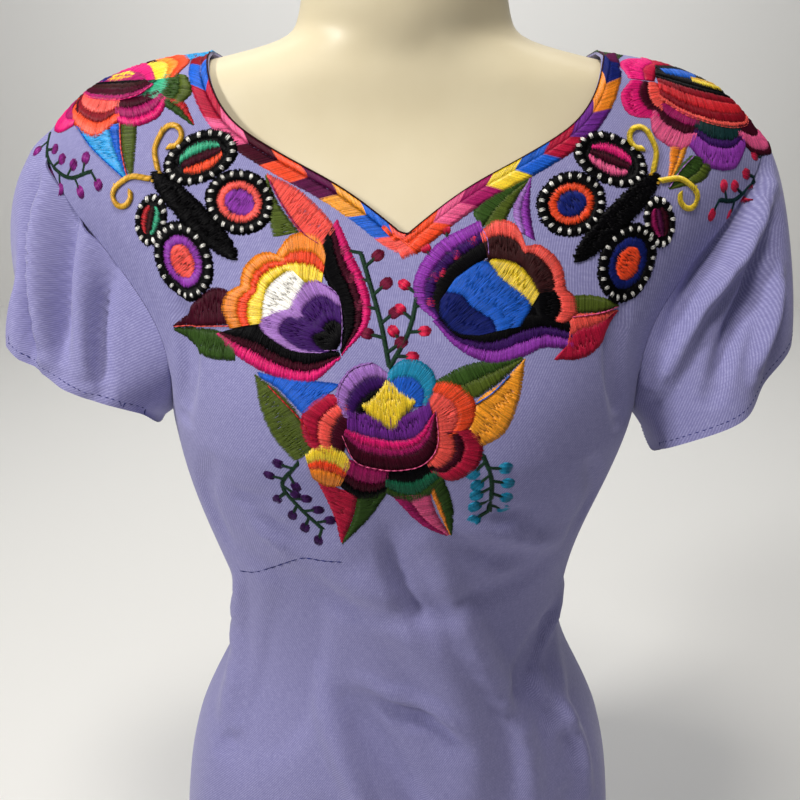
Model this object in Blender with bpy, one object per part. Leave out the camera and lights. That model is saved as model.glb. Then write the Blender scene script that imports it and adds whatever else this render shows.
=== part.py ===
# Short-sleeved embroidered blouse worn by a limbless dress form.
# Metres, +Z up, front toward -Y, origin under the middle of the whole at the form's flat base.
# The body of the blouse is a stack of level sections. The front and back panels are cut from it
# along the neckline, the shoulder ridges, the armholes and the side seams, and each sleeve is
# lofted from its armhole to its hem.

import math

import bpy
from mathutils import Vector

COLLECTION = "embroidered_blouse"

WALL = 0.0016
SEAM_GAP = 0.0003
LONGEST_MITRE = 1.5
HEM_HEIGHT = 0.048
UNDERARM_HEIGHT = 0.455
SHOULDER_TIP_HEIGHT = 0.622
NECK_POINT_X = 0.109
BACK_NECK_HEIGHT = 0.640
NECK_TOP_HEIGHT = 0.722

HALF_COLUMNS_ON_SHOULDER = 5
HALF_COLUMNS_ON_NECK = 8
ARMHOLE_ROWS = 16
SIDE_ROWS = 18
SLEEVE_ROWS = 9
FORM_COLUMNS = 36

# Level sections of the blouse's outer face. Left and right are the half widths as seen from the
# front, front and back are depths from the side seam, and roundness 2 is an ellipse.
BODY_COLUMNS = ("height", "left", "right", "front", "back", "roundness")
BODY = (
    (0.000, 0.166, 0.158, 0.128, 0.116, 2.20),
    (0.048, 0.164, 0.156, 0.126, 0.114, 2.20),
    (0.100, 0.162, 0.153, 0.122, 0.112, 2.20),
    (0.144, 0.159, 0.150, 0.118, 0.109, 2.20),
    (0.198, 0.153, 0.145, 0.111, 0.103, 2.20),
    (0.233, 0.144, 0.137, 0.105, 0.096, 2.20),
    (0.266, 0.128, 0.121, 0.101, 0.087, 2.15),
    (0.296, 0.113, 0.107, 0.098, 0.080, 2.10),
    (0.330, 0.111, 0.105, 0.099, 0.076, 2.10),
    (0.360, 0.120, 0.110, 0.102, 0.076, 2.10),
    (0.389, 0.130, 0.119, 0.107, 0.078, 2.10),
    (0.424, 0.139, 0.132, 0.115, 0.081, 2.15),
    (0.455, 0.143, 0.141, 0.120, 0.084, 2.20),
    (0.482, 0.146, 0.146, 0.119, 0.087, 2.20),
    (0.512, 0.155, 0.155, 0.110, 0.089, 2.15),
    (0.548, 0.178, 0.178, 0.092, 0.086, 2.05),
    (0.580, 0.202, 0.202, 0.075, 0.079, 2.00),
    (0.604, 0.211, 0.211, 0.063, 0.071, 1.95),
    (0.622, 0.206, 0.206, 0.055, 0.063, 1.88),
    (0.638, 0.192, 0.192, 0.050, 0.057, 1.78),
    (0.653, 0.164, 0.164, 0.048, 0.053, 1.66),
    (0.661, 0.136, 0.136, 0.047, 0.051, 1.58),
    (0.6645, 0.109, 0.109, 0.047, 0.050, 1.54),
    (0.667, 0.086, 0.086, 0.047, 0.050, 1.55),
    (0.673, 0.066, 0.066, 0.048, 0.051, 1.70),
    (0.690, 0.0585, 0.0585, 0.049, 0.052, 1.95),
    (0.710, 0.0565, 0.0565, 0.050, 0.052, 2.00),
    (0.730, 0.0560, 0.0560, 0.050, 0.052, 2.00),
)

# Half of the front neckline, from the neck point to the notch in the middle.
NECKLINE_COLUMNS = ("from_middle", "height")
FRONT_NECKLINE = (
    (0.1065, 0.6530),
    (0.1035, 0.6425),
    (0.0985, 0.6325),
    (0.0870, 0.6212),
    (0.0710, 0.6132),
    (0.0540, 0.6042),
    (0.0400, 0.5976),
    (0.0265, 0.5904),
    (0.0145, 0.5812),
    (0.0000, 0.5700),
)

# The armhole's edge from the shoulder tip to the underarm. The angle runs round the section
# from the middle of the panel (0) to the side seam or shoulder ridge (90).
ARMHOLE_COLUMNS = ("height", "front_angle", "back_angle")
ARMHOLE = (
    (0.622, 90.0, 90.0),
    (0.603, 75.0, 78.0),
    (0.574, 69.0, 72.0),
    (0.545, 64.0, 68.0),
    (0.512, 60.0, 67.0),
    (0.484, 64.0, 71.0),
    (0.463, 74.0, 78.0),
    (0.455, 90.0, 90.0),
)

# The two cups on the front of the figure.
CUP_OUT = 0.006
CUP_X = 0.066
CUP_HEIGHT = 0.468
CUP_WIDTH = 0.036
CUP_TALL = 0.034

# Folds of the body, each a soft ridge or trough along a line across the section's angle.
# Angles go from the middle of the panel to the right as seen from the front.
FOLD_COLUMNS = ("from_angle", "from_height", "to_angle", "to_height", "half_width", "out")
FRONT_FOLDS = (
    (-62.0, 0.390, -58.0, 0.150, 0.018, 0.0045),
    (-16.0, 0.400, 10.0, 0.240, 0.026, 0.0040),
    (10.0, 0.250, 28.0, 0.060, 0.026, 0.0050),
    (-32.0, 0.260, -36.0, 0.048, 0.026, -0.0034),
    (46.0, 0.260, 50.0, 0.048, 0.026, -0.0034),
    (66.0, 0.330, 68.0, 0.080, 0.020, 0.0045),
    (-8.0, 0.210, -12.0, 0.048, 0.026, 0.0045),
    (72.0, 0.365, 68.0, 0.290, 0.013, 0.0050),
)
BACK_FOLDS = (
    (-58.0, 0.390, -50.0, 0.060, 0.022, 0.0045),
    (-34.0, 0.280, -36.0, 0.048, 0.024, -0.0034),
    (-12.0, 0.430, -16.0, 0.048, 0.026, 0.0050),
    (10.0, 0.260, 12.0, 0.048, 0.026, -0.0034),
    (34.0, 0.400, 38.0, 0.048, 0.024, 0.0050),
    (62.0, 0.260, 64.0, 0.060, 0.024, -0.0030),
)

# The sleeve's hem, a row for each station round it, starting above the shoulder tip and going
# down the front, under the arm and up the back. Distances out are from the middle of the body.
HEM_COLUMNS = ("station", "out", "forward", "height")
LEFT_HEM = (
    (0.0, 0.2370, -0.004, 0.524),
    (3.0, 0.2300, 0.036, 0.508),
    (5.5, 0.2130, 0.060, 0.495),
    (8.0, 0.1900, 0.073, 0.485),
    (11.0, 0.1620, 0.074, 0.476),
    (13.5, 0.1490, 0.056, 0.465),
    (16.0, 0.1560, 0.004, 0.443),
    (19.0, 0.1610, -0.046, 0.453),
    (22.5, 0.1790, -0.072, 0.472),
    (26.0, 0.2130, -0.068, 0.490),
    (29.0, 0.2350, -0.044, 0.514),
)
RIGHT_HEM = (
    (0.0, 0.2300, -0.004, 0.522),
    (3.0, 0.2230, 0.036, 0.500),
    (5.5, 0.2070, 0.060, 0.483),
    (8.0, 0.1850, 0.074, 0.468),
    (11.0, 0.1600, 0.077, 0.456),
    (13.5, 0.1500, 0.058, 0.445),
    (16.0, 0.1590, 0.004, 0.426),
    (19.0, 0.1620, -0.046, 0.445),
    (22.5, 0.1790, -0.072, 0.468),
    (26.0, 0.2120, -0.068, 0.486),
    (29.0, 0.2330, -0.044, 0.510),
)

# Flutes of the sleeves, which start near the armhole and deepen toward the hem.
FLUTE_COLUMNS = ("station", "half_width", "out", "start")
LEFT_FLUTES = (
    (2.4, 1.6, -0.0130, 0.15),
    (4.4, 1.4, 0.0050, 0.15),
    (6.4, 1.5, -0.0090, 0.12),
    (9.0, 1.6, -0.0070, 0.12),
    (12.0, 1.5, -0.0040, 0.20),
    (20.5, 1.7, 0.0050, 0.20),
    (24.0, 1.8, -0.0100, 0.15),
    (28.0, 1.7, -0.0090, 0.20),
)
RIGHT_FLUTES = (
    (2.6, 2.0, 0.0060, 0.15),
    (5.2, 1.7, -0.0060, 0.05),
    (8.6, 2.2, 0.0070, 0.08),
    (11.8, 1.6, -0.0090, 0.05),
    (21.0, 1.8, -0.0080, 0.20),
    (25.0, 1.8, 0.0060, 0.20),
    (28.6, 1.7, -0.0090, 0.20),
)
LEFT_BULGE = 1.15
RIGHT_BULGE = 0.70
SLEEVE_REACHES_HEM = 0.75

# Room between the blouse's outer face and the form, by height. The drop lowers the shoulders.
CLEARANCE_COLUMNS = ("height", "clearance", "drop")
CLEARANCE = (
    (0.000, 0.0070, 0.0000),
    (0.200, 0.0070, 0.0000),
    (0.270, 0.0060, 0.0000),
    (0.340, 0.0055, 0.0000),
    (0.420, 0.0052, 0.0000),
    (0.480, 0.0050, 0.0000),
    (0.560, 0.0060, 0.0020),
    (0.610, 0.0065, 0.0040),
    (0.650, 0.0045, 0.0042),
    (0.664, 0.0040, 0.0036),
    (0.675, 0.0010, 0.0010),
    (0.722, 0.0000, 0.0000),
)
FORM_FOOT_ROUND = 0.004
FORM_NECK_ROUND = 0.006

MATERIALS = {
    "lavender_cloth": ((0.300, 0.270, 0.560), 0.85),
    "cream_plastic": ((0.700, 0.620, 0.470), 0.38),
}


def table_curve(rows, column):
    # A smooth curve through one column of a table, over its first column, with no overshoot.
    xs = [row[0] for row in rows]
    ys = [row[column] for row in rows]
    steps = [(ys[i + 1] - ys[i]) / (xs[i + 1] - xs[i]) for i in range(len(xs) - 1)]
    slopes = [steps[0]]
    for i in range(1, len(xs) - 1):
        flat = steps[i - 1] * steps[i] <= 0
        slopes.append(0.0 if flat else 2 * steps[i - 1] * steps[i] / (steps[i - 1] + steps[i]))
    slopes.append(steps[-1])

    def value(x):
        x = min(max(x, xs[0]), xs[-1])
        i = 0
        while i < len(xs) - 2 and x > xs[i + 1]:
            i += 1
        span = xs[i + 1] - xs[i]
        t = (x - xs[i]) / span
        rise = t * t * (3 - 2 * t)
        start = t * (1 - t) ** 2
        end = t * t * (t - 1)
        return ys[i] + (ys[i + 1] - ys[i]) * rise + span * (slopes[i] * start + slopes[i + 1] * end)

    return value


def ring_curve(rows, column, turn):
    # The same for a closed round of stations, smooth across its start.
    first = rows[0]
    wrapped = [tuple([row[0] - turn]) + tuple(row[1:]) for row in rows[-2:]]
    wrapped += list(rows)
    wrapped += [tuple([row[0] + turn]) + tuple(row[1:]) for row in rows[:2]]
    xs = [row[0] for row in wrapped]
    ys = [row[column] for row in wrapped]

    def value(x):
        x = first[0] + (x - first[0]) % turn
        i = 1
        while x > xs[i + 1]:
            i += 1
        span = xs[i + 1] - xs[i]
        t = (x - xs[i]) / span
        slope_in = (ys[i + 1] - ys[i - 1]) / (xs[i + 1] - xs[i - 1])
        slope_out = (ys[i + 2] - ys[i]) / (xs[i + 2] - xs[i])
        rise = t * t * (3 - 2 * t)
        return (
            ys[i]
            + (ys[i + 1] - ys[i]) * rise
            + span * (slope_in * t * (1 - t) ** 2 + slope_out * t * t * (t - 1))
        )

    return value


body_left = table_curve(BODY, 1)
body_right = table_curve(BODY, 2)
body_front = table_curve(BODY, 3)
body_back = table_curve(BODY, 4)
body_roundness = table_curve(BODY, 5)
clearance_at = table_curve(CLEARANCE, 1)
drop_at = table_curve(CLEARANCE, 2)


def half_width(x, height):
    return body_left(height) if x < 0 else body_right(height)


def cups(x, height):
    tall = math.exp(-(((height - CUP_HEIGHT) / CUP_TALL) ** 2) / 2)
    wide = math.exp(-(((abs(x) - CUP_X) / CUP_WIDTH) ** 2) / 2)
    return CUP_OUT * tall * wide


def depth_at(x, height, front):
    # How far the section stands out from the plane of the side seams.
    power = body_roundness(height)
    share = min(abs(x) / half_width(x, height), 1.0)
    round_part = (1 - share**power) ** (1 / power)
    if not front:
        return body_back(height) * round_part
    return body_front(height) * round_part + cups(x, height) * min(1.0, 2 * round_part)


def ridge_height(x):
    # Height of the shoulder ridge over x, where the section's half width is x.
    low = SHOULDER_TIP_HEIGHT
    high = BODY[-1][0]
    for _ in range(40):
        middle = (low + high) / 2
        if body_right(middle) > x:
            low = middle
        else:
            high = middle
    return low


def x_from_angle(angle, height, side):
    # x of the section at an angle from the panel's middle, on the side of the given sign.
    width = half_width(side, height)
    return side * width * math.sin(math.radians(angle)) ** (2 / body_roundness(height))


def neckline_height(x, front):
    neck_point = ridge_height(NECK_POINT_X)
    if front:
        rows = ((NECK_POINT_X, neck_point),) + FRONT_NECKLINE
    else:
        rows = ((NECK_POINT_X, neck_point), (NECK_POINT_X * 0.72, BACK_NECK_HEIGHT + 0.003))
        rows += ((NECK_POINT_X * 0.36, BACK_NECK_HEIGHT), (0.0, BACK_NECK_HEIGHT - 0.001))
    return table_curve(rows[::-1], 1)(abs(x))


def neckline_stations(front, count):
    # x of points spread evenly along the neckline, from the neck point to the middle.
    samples = 240
    xs = [NECK_POINT_X * (1 - i / samples) for i in range(samples + 1)]
    points = []
    for x in xs:
        height = neckline_height(x, front)
        points.append(Vector((x, depth_at(x, height, front), height)))
    along = [0.0]
    for a, b in zip(points, points[1:]):
        along.append(along[-1] + (b - a).length)
    stations = []
    for step in range(1, count + 1):
        wanted = along[-1] * step / count
        index = next(i for i, length in enumerate(along) if length >= wanted - 1e-9)
        stations.append(xs[index])
    return stations


def top_edge(front):
    # Half of a panel's top edge from the shoulder tip to the middle, as (x, height) pairs.
    tip_x = body_right(SHOULDER_TIP_HEIGHT)
    edge = []
    for step in range(HALF_COLUMNS_ON_SHOULDER + 1):
        x = tip_x + (NECK_POINT_X - tip_x) * step / HALF_COLUMNS_ON_SHOULDER
        edge.append((x, ridge_height(x) if step else SHOULDER_TIP_HEIGHT))
    for x in neckline_stations(front, HALF_COLUMNS_ON_NECK):
        edge.append((x, neckline_height(x, front)))
    return edge


def side_rows(front):
    # Height and edge angle of every row, down the armhole and then down the side seam.
    angle_column = 1 if front else 2
    numbered = [(i,) + row for i, row in enumerate(ARMHOLE)]
    height_of = table_curve(numbered, 1)
    angle_of = table_curve(numbered, 1 + angle_column)
    rows = []
    last = len(ARMHOLE) - 1
    for step in range(ARMHOLE_ROWS + 1):
        share = step / ARMHOLE_ROWS
        rows.append((height_of(last * share), angle_of(last * share), (1 - share) ** 1.15))
    for step in range(1, SIDE_ROWS + 1):
        share = step / SIDE_ROWS
        height = UNDERARM_HEIGHT + (HEM_HEIGHT - UNDERARM_HEIGHT) * share
        rows.append((height, 90.0, 0.0))
    return rows


def fold_offset(x, height, front):
    # How far the folds push a point out, from its arc distance to each fold's line.
    push = 0.0
    width = half_width(x, height)
    share = min(abs(x) / width, 1.0)
    angle = math.degrees(math.asin(share ** (body_roundness(height) / 2)))
    angle = math.copysign(angle, x)
    per_degree = math.pi * (width + body_front(height)) / 360
    for from_angle, from_height, to_angle, to_height, half, out in FRONT_FOLDS if front else BACK_FOLDS:
        down = (from_height - height) / (from_height - to_height)
        nearest = min(max(down, 0.0), 1.0)
        across = (angle - (from_angle + (to_angle - from_angle) * nearest)) * per_degree
        beyond = (down - nearest) * (from_height - to_height) * 0.5
        reach = math.hypot(across, beyond) / half
        if reach < 1.0:
            ends = min(1.0, 0.25 + 2.5 * nearest)
            push += out * ends * (0.5 + 0.5 * math.cos(math.pi * reach))
    return push


def panel_grid(front):
    # Rows of points of the front or back panel, from left to right as seen from the front.
    half = top_edge(front)
    columns = len(half) - 1
    tip_x = half[0][0]
    grid = []
    for height_side, edge_angle, top_share in side_rows(front):
        row = []
        edge_sine = math.sin(math.radians(edge_angle))
        for column in range(-columns, columns + 1):
            side = -1 if column < 0 else 1
            top_x, top_height = half[columns - abs(column)]
            height = height_side + top_share * (top_height - SHOULDER_TIP_HEIGHT)
            spread = abs(column) / columns
            power = 2 / body_roundness(height)
            low_share = (math.sin(math.radians(edge_angle * spread)) / edge_sine) ** power
            share = top_share * top_x / tip_x + (1 - top_share) * low_share
            x = x_from_angle(edge_angle, height_side, side) * share
            depth = depth_at(x, height, front) + fold_offset(x, height, front)
            if edge_angle == 90.0 and abs(column) == columns:
                depth = 0.0
            if top_share == 1.0 and abs(column) >= HALF_COLUMNS_ON_NECK:
                depth = 0.0
            row.append(Vector((x, -depth if front else depth, height)))
        grid.append(row)
    return grid


def armhole_loop(front_grid, back_grid, side):
    # The armhole's points from the shoulder tip down the front and up the back.
    column = 0 if side < 0 else -1
    down = [front_grid[row][column] for row in range(ARMHOLE_ROWS + 1)]
    up = [back_grid[row][column] for row in range(ARMHOLE_ROWS - 1, 0, -1)]
    return [point.copy() for point in down + up]


def sleeve_grid(loop, hem, flutes, bulge, side):
    # Rings from the armhole to the hem. Each line leaves the shoulder outward and ends hanging,
    # and a larger bulge carries the cloth further out before it turns down.
    count = len(loop)
    hem_out = ring_curve(hem, 1, count)
    hem_forward = ring_curve(hem, 2, count)
    hem_height = ring_curve(hem, 3, count)
    middle = sum(loop, Vector()) / count
    grid = [[] for _ in range(SLEEVE_ROWS + 1)]
    for station in range(count):
        start = loop[station]
        end = Vector((side * hem_out(station), -hem_forward(station), hem_height(station)))
        away = start - middle
        length = (end - start).length
        top = 0.5 + 0.5 * math.cos(2 * math.pi * station / count)
        leave = Vector((side * (0.75 + 0.20 * top), away.y * 2.2, -0.75 + 0.25 * top)).normalized()
        hang = Vector((side * (0.10 - 0.22 * top), away.y * 1.2, -1.0)).normalized()
        outward = Vector((side * max(0.25, top), away.y * 9.0, 0.25)).normalized()
        for ring in range(SLEEVE_ROWS + 1):
            t = ring / SLEEVE_ROWS
            point = (
                start * (1 + 2 * t) * (1 - t) ** 2
                + end * t * t * (3 - 2 * t)
                + leave * (length * bulge * t * (1 - t) ** 2)
                + hang * (length * SLEEVE_REACHES_HEM * t * t * (t - 1))
            )
            for at, half, out, begins in flutes:
                reach = abs((station - at + count / 2) % count - count / 2) / half
                if reach < 1.0 and t > begins:
                    grow = ((t - begins) / (1 - begins)) ** 1.2
                    point += outward * (out * grow * (0.5 + 0.5 * math.cos(math.pi * reach)))
            grid[ring].append(point)
    return grid


def key_of(point):
    return tuple(round(value, 6) for value in point)


def grid_quads(grid, closed):
    across = len(grid[0])
    for row in range(len(grid) - 1):
        for column in range(across if closed else across - 1):
            following = (column + 1) % across
            yield ((row, column), (row + 1, column), (row + 1, following), (row, following))


def wall_steps(groups):
    # At every point, the step from the inner to the outer face of the wall, shared by the panels
    # that meet there. A group's panels run on smoothly into each other, and where two groups
    # meet the step halves the angle between them, as a mitre does.
    steps = {}
    for panels in groups:
        normals = {}
        for grid, closed, flip in panels:
            for corners in grid_quads(grid, closed):
                a, b, c, d = (grid[row][column] for row, column in corners)
                normal = (c - a).cross(d - b) * (-1 if flip else 1)
                for point in (a, b, c, d):
                    normals.setdefault(key_of(point), Vector())
                    normals[key_of(point)] += normal
        for key, normal in normals.items():
            steps.setdefault(key, []).append(normal.normalized())
    shared = {}
    for key, normals in steps.items():
        middle = sum(normals, Vector()).normalized()
        shared[key] = middle * (WALL * min(1 / middle.dot(normals[0]), LONGEST_MITRE))
    return shared


def turned(face):
    # The same face seen from behind, still starting at its first corner.
    return face[:1] + face[:0:-1]


def mesh_object(name, points, faces, material):
    mesh = bpy.data.meshes.new(name)
    mesh.from_pydata(points, [], faces)
    mesh.validate()
    mesh.shade_smooth()
    mesh.materials.append(material)
    thing = bpy.data.objects.new(name, mesh)
    bpy.data.collections[COLLECTION].objects.link(thing)
    return thing


def seam_steps(grid, closed):
    # For every point on a seam, the unit step from it into its own panel.
    rows = len(grid)
    across = len(grid[0])
    shoulder = range(HALF_COLUMNS_ON_SHOULDER + 1)
    top = range(across) if closed else list(shoulder) + [across - 1 - c for c in shoulder]
    steps = {}
    for column in top:
        steps[(0, column)] = (grid[1][column] - grid[0][column]).normalized()
    if not closed:
        for row in range(rows):
            for column, inner_column in ((0, 1), (across - 1, across - 2)):
                step = (grid[row][inner_column] - grid[row][column]).normalized()
                steps[(row, column)] = (steps.get((row, column), Vector()) + step).normalized()
    return steps


def seam_moves(panels):
    # The small move of each panel's seam points away from the panels sewn to it there.
    steps = {name: seam_steps(grid, closed) for name, (grid, closed, _) in panels.items()}
    meeting = {}
    for name, own in steps.items():
        grid = panels[name][0]
        for (row, column), step in own.items():
            meeting.setdefault(key_of(grid[row][column]), []).append((name, step))
    moves = {}
    for name, own in steps.items():
        grid = panels[name][0]
        moves[name] = {}
        for (row, column), step in own.items():
            others = [s for other, s in meeting[key_of(grid[row][column])] if other != name]
            apart = step * len(others) - sum(others, Vector())
            moves[name][(row, column)] = apart.normalized() * (SEAM_GAP / 2)
    return moves


def cloth_wall(name, grid, closed, flip, steps, moves, material):
    # A closed wall between the outer face and the same face moved in by the shared steps.
    rows = len(grid)
    across = len(grid[0])
    outer = [[point.copy() for point in row] for row in grid]
    inner = [[point - steps[key_of(point)] for point in row] for row in grid]
    for (row, column), move in moves.items():
        outer[row][column] += move
        inner[row][column] += move
    points = [point for layer in (outer, inner) for row in layer for point in row]

    def index(layer, row, column):
        return layer * rows * across + row * across + column % across

    faces = []
    for corners in grid_quads(grid, closed):
        outside = [index(0, row, column) for row, column in corners]
        inside = [index(1, row, column) for row, column in corners]
        faces.append(turned(outside) if flip else outside)
        faces.append(inside if flip else turned(inside))
    edge = []
    if closed:
        loops = [[(0, c) for c in range(across)], [(rows - 1, c) for c in range(across)][::-1]]
    else:
        edge += [(0, c) for c in range(across)]
        edge += [(r, across - 1) for r in range(1, rows)]
        edge += [(rows - 1, c) for c in range(across - 2, -1, -1)]
        edge += [(r, 0) for r in range(rows - 2, 0, -1)]
        loops = [edge]
    for loop in loops:
        for (row, column), (next_row, next_column) in zip(loop, loop[1:] + loop[:1]):
            rim = [
                index(0, row, column),
                index(0, next_row, next_column),
                index(1, next_row, next_column),
                index(1, row, column),
            ]
            if grid[row][column].z < grid[next_row][next_column].z:
                rim = rim[1:] + rim[:1]
            faces.append(turned(rim) if flip else rim)
    return mesh_object(name, points, faces, material)


def form_section(height):
    # Half widths, depths and roundness of the dress form at a height.
    level = height + drop_at(height)
    gap = clearance_at(height)
    return (
        body_left(level) - gap,
        body_right(level) - gap,
        body_front(level) - gap,
        body_back(level) - gap,
        body_roundness(level),
    )


def form_ring(height, shrink):
    left, right, front, back, power = form_section(height)
    ring = []
    for step in range(FORM_COLUMNS):
        turn = 2 * math.pi * step / FORM_COLUMNS
        sine = math.sin(turn)
        cosine = math.cos(turn)
        width = right if sine > 0 else left
        depth = front if cosine > 0 else back
        x = math.copysign(abs(sine) ** (2 / power), sine) * (width - shrink)
        y = math.copysign(abs(cosine) ** (2 / power), -cosine) * (depth - shrink)
        if cosine > 0:
            y -= cups(x, height) * min(1.0, 2 * abs(cosine) ** (2 / power))
        ring.append(Vector((x, y, height)))
    return ring


def form_heights():
    # Levels of the form's rings, close together over the shoulders.
    shoulder = 0.560
    ridge_end = 0.680
    low = 18
    high = 12
    heights = [shoulder * i / low for i in range(low)]
    heights += [shoulder + (ridge_end - shoulder) * i / high for i in range(high + 1)]
    heights += [0.690, 0.705, NECK_TOP_HEIGHT]
    return heights


def dress_form(material):
    # A solid figure from its flat base to the flat cut of its neck, with both rims rounded.
    rings = [form_ring(0.0, FORM_FOOT_ROUND)]
    for height in form_heights():
        if height == 0.0:
            rings.append(form_ring(FORM_FOOT_ROUND, 0.0))
        elif height == NECK_TOP_HEIGHT:
            rings.append(form_ring(height - FORM_NECK_ROUND, 0.0))
            rings.append(form_ring(height - FORM_NECK_ROUND * 0.3, FORM_NECK_ROUND * 0.3))
            rings.append(form_ring(height, FORM_NECK_ROUND))
        else:
            rings.append(form_ring(height, 0.0))
    points = [point for ring in rings for point in ring]
    faces = []
    for row in range(len(rings) - 1):
        for step in range(FORM_COLUMNS):
            following = (step + 1) % FORM_COLUMNS
            low = row * FORM_COLUMNS
            high = low + FORM_COLUMNS
            faces.append([low + step, low + following, high + following, high + step])
    faces.append(list(range(FORM_COLUMNS))[::-1])
    last = (len(rings) - 1) * FORM_COLUMNS
    faces.append([last + step for step in range(FORM_COLUMNS)])
    return mesh_object("dress_form", points, faces, material)


def make_material(name):
    color, roughness = MATERIALS[name]
    material = bpy.data.materials.new(name)
    material.use_nodes = True
    shader = material.node_tree.nodes["Principled BSDF"]
    shader.inputs["Base Color"].default_value = (*color, 1.0)
    shader.inputs["Roughness"].default_value = roughness
    material.diffuse_color = (*color, 1.0)
    return material


def centre_on_origin(things):
    # Moves every point so that the bounding box's middle stands over the origin.
    corners = [vertex.co for thing in things for vertex in thing.data.vertices]
    middle_x = (min(p.x for p in corners) + max(p.x for p in corners)) / 2
    middle_y = (min(p.y for p in corners) + max(p.y for p in corners)) / 2
    for thing in things:
        for vertex in thing.data.vertices:
            vertex.co.x -= middle_x
            vertex.co.y -= middle_y


def build():
    for thing in list(bpy.data.objects):
        bpy.data.objects.remove(thing)
    collection = bpy.data.collections.new(COLLECTION)
    bpy.context.scene.collection.children.link(collection)
    cloth = make_material("lavender_cloth")
    plastic = make_material("cream_plastic")

    front = panel_grid(True)
    back = panel_grid(False)
    left = sleeve_grid(armhole_loop(front, back, -1), LEFT_HEM, LEFT_FLUTES, LEFT_BULGE, -1)
    right = sleeve_grid(armhole_loop(front, back, 1), RIGHT_HEM, RIGHT_FLUTES, RIGHT_BULGE, 1)
    panels = {
        "front": (front, False, False),
        "back": (back, False, True),
        "sleeve_left": (left, True, False),
        "sleeve_right": (right, True, True),
    }
    body = [panels["front"], panels["back"]]
    steps = wall_steps([body, [panels["sleeve_left"]], [panels["sleeve_right"]]])
    moves = seam_moves(panels)
    things = [dress_form(plastic)]
    for name, (grid, closed, flip) in panels.items():
        things.append(cloth_wall(name, grid, closed, flip, steps, moves[name], cloth))
    centre_on_origin(things)


build()
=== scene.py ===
import bisect
import math
import random

import bpy
import bmesh
from mathutils import Matrix, Vector
from mathutils.bvhtree import BVHTree


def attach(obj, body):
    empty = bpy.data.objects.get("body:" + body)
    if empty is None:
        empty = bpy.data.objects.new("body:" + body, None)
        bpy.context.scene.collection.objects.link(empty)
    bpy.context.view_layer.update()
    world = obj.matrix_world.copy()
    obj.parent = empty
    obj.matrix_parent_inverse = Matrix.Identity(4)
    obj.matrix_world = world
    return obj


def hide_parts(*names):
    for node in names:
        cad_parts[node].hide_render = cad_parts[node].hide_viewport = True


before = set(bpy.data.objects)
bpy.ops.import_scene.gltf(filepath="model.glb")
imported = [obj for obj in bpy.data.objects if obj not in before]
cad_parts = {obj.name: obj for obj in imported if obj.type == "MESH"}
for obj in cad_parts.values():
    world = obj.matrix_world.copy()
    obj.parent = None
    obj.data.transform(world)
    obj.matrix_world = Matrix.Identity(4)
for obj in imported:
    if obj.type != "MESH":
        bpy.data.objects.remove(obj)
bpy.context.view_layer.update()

mm = 0.001
scene = bpy.context.scene

# where the photo was taken from, as an estimate. Focal length in pixels
photoView = {"place": (0.0, -0.51, 0.62), "down": 17.6, "focal": 841.0, "size": 800.0}


def photoRay(px, py):
    # from the camera through a pixel of the photo
    half = photoView["size"] / 2
    straight = Vector((px - half, photoView["focal"], half - py))
    return (Matrix.Rotation(-math.radians(photoView["down"]), 3, "X") @ straight).normalized()


def makeCamera():
    lens = 36.0 * photoView["focal"] / photoView["size"]
    bpy.ops.object.camera_add(
        location=photoView["place"],
        rotation=(math.radians(90 - photoView["down"]), 0, 0),
    )
    camera = bpy.context.object
    camera.name = "photoCamera"
    camera.data.lens = lens
    camera.data.sensor_width = 36.0
    camera.data.clip_start = 0.01
    scene.camera = camera


# small helpers for modelling and for materials

def pick(thing):
    bpy.ops.object.select_all(action="DESELECT")
    thing.select_set(True)
    bpy.context.view_layer.objects.active = thing


def copyOfNode(node, name):
    # the CAD node's mesh as a piece of its own, welded and back in four-sided faces
    thing = bpy.data.objects.new(name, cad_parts[node].data.copy())
    scene.collection.objects.link(thing)
    thing.data.materials.clear()
    pick(thing)
    bpy.ops.mesh.customdata_custom_splitnormals_clear()
    bpy.ops.object.mode_set(mode="EDIT")
    bpy.ops.mesh.select_all(action="SELECT")
    bpy.ops.mesh.remove_doubles(threshold=0.01 * mm)
    bpy.ops.mesh.tris_convert_to_quads(face_threshold=math.pi, shape_threshold=math.pi)
    bpy.ops.object.mode_set(mode="OBJECT")
    return thing


cornerAngle = 130     # degrees. A cut edge that turns more sharply keeps its corner


def smoothCopy(thing, levels, sharpAngle):
    # subdivision that keeps the cut edges where they are
    mesh = bmesh.new()
    mesh.from_mesh(thing.data)
    crease = mesh.edges.layers.float.get("crease_edge") or mesh.edges.layers.float.new("crease_edge")
    for edge in mesh.edges:
        if edge.is_manifold and edge.calc_face_angle() > math.radians(sharpAngle):
            edge[crease] = 1.0
    corner = mesh.verts.layers.float.get("crease_vert") or mesh.verts.layers.float.new("crease_vert")
    for vertex in mesh.verts:
        ways = [edge.other_vert(vertex).co - vertex.co for edge in vertex.link_edges if edge[crease] == 1.0]
        if len(ways) == 2 and ways[0].angle(ways[1]) < math.radians(cornerAngle):
            vertex[corner] = 1.0
    mesh.to_mesh(thing.data)
    mesh.free()
    pick(thing)
    bpy.ops.object.modifier_add(type="SUBSURF")
    thing.modifiers[-1].levels = levels
    thing.modifiers[-1].render_levels = levels
    bpy.ops.object.modifier_apply(modifier=thing.modifiers[-1].name)
    bpy.ops.object.shade_smooth_by_angle(angle=math.radians(sharpAngle))


def linear(code):
    # sRGB hex to linear
    values = [int(code[i:i + 2], 16) / 255 for i in (1, 3, 5)]
    return tuple(v / 12.92 if v <= 0.04045 else ((v + 0.055) / 1.055) ** 2.4 for v in values) + (1.0,)


def newMaterial(name):
    material = bpy.data.materials.new(name)
    material.use_nodes = True
    return material, material.node_tree, material.node_tree.nodes["Principled BSDF"]


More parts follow.
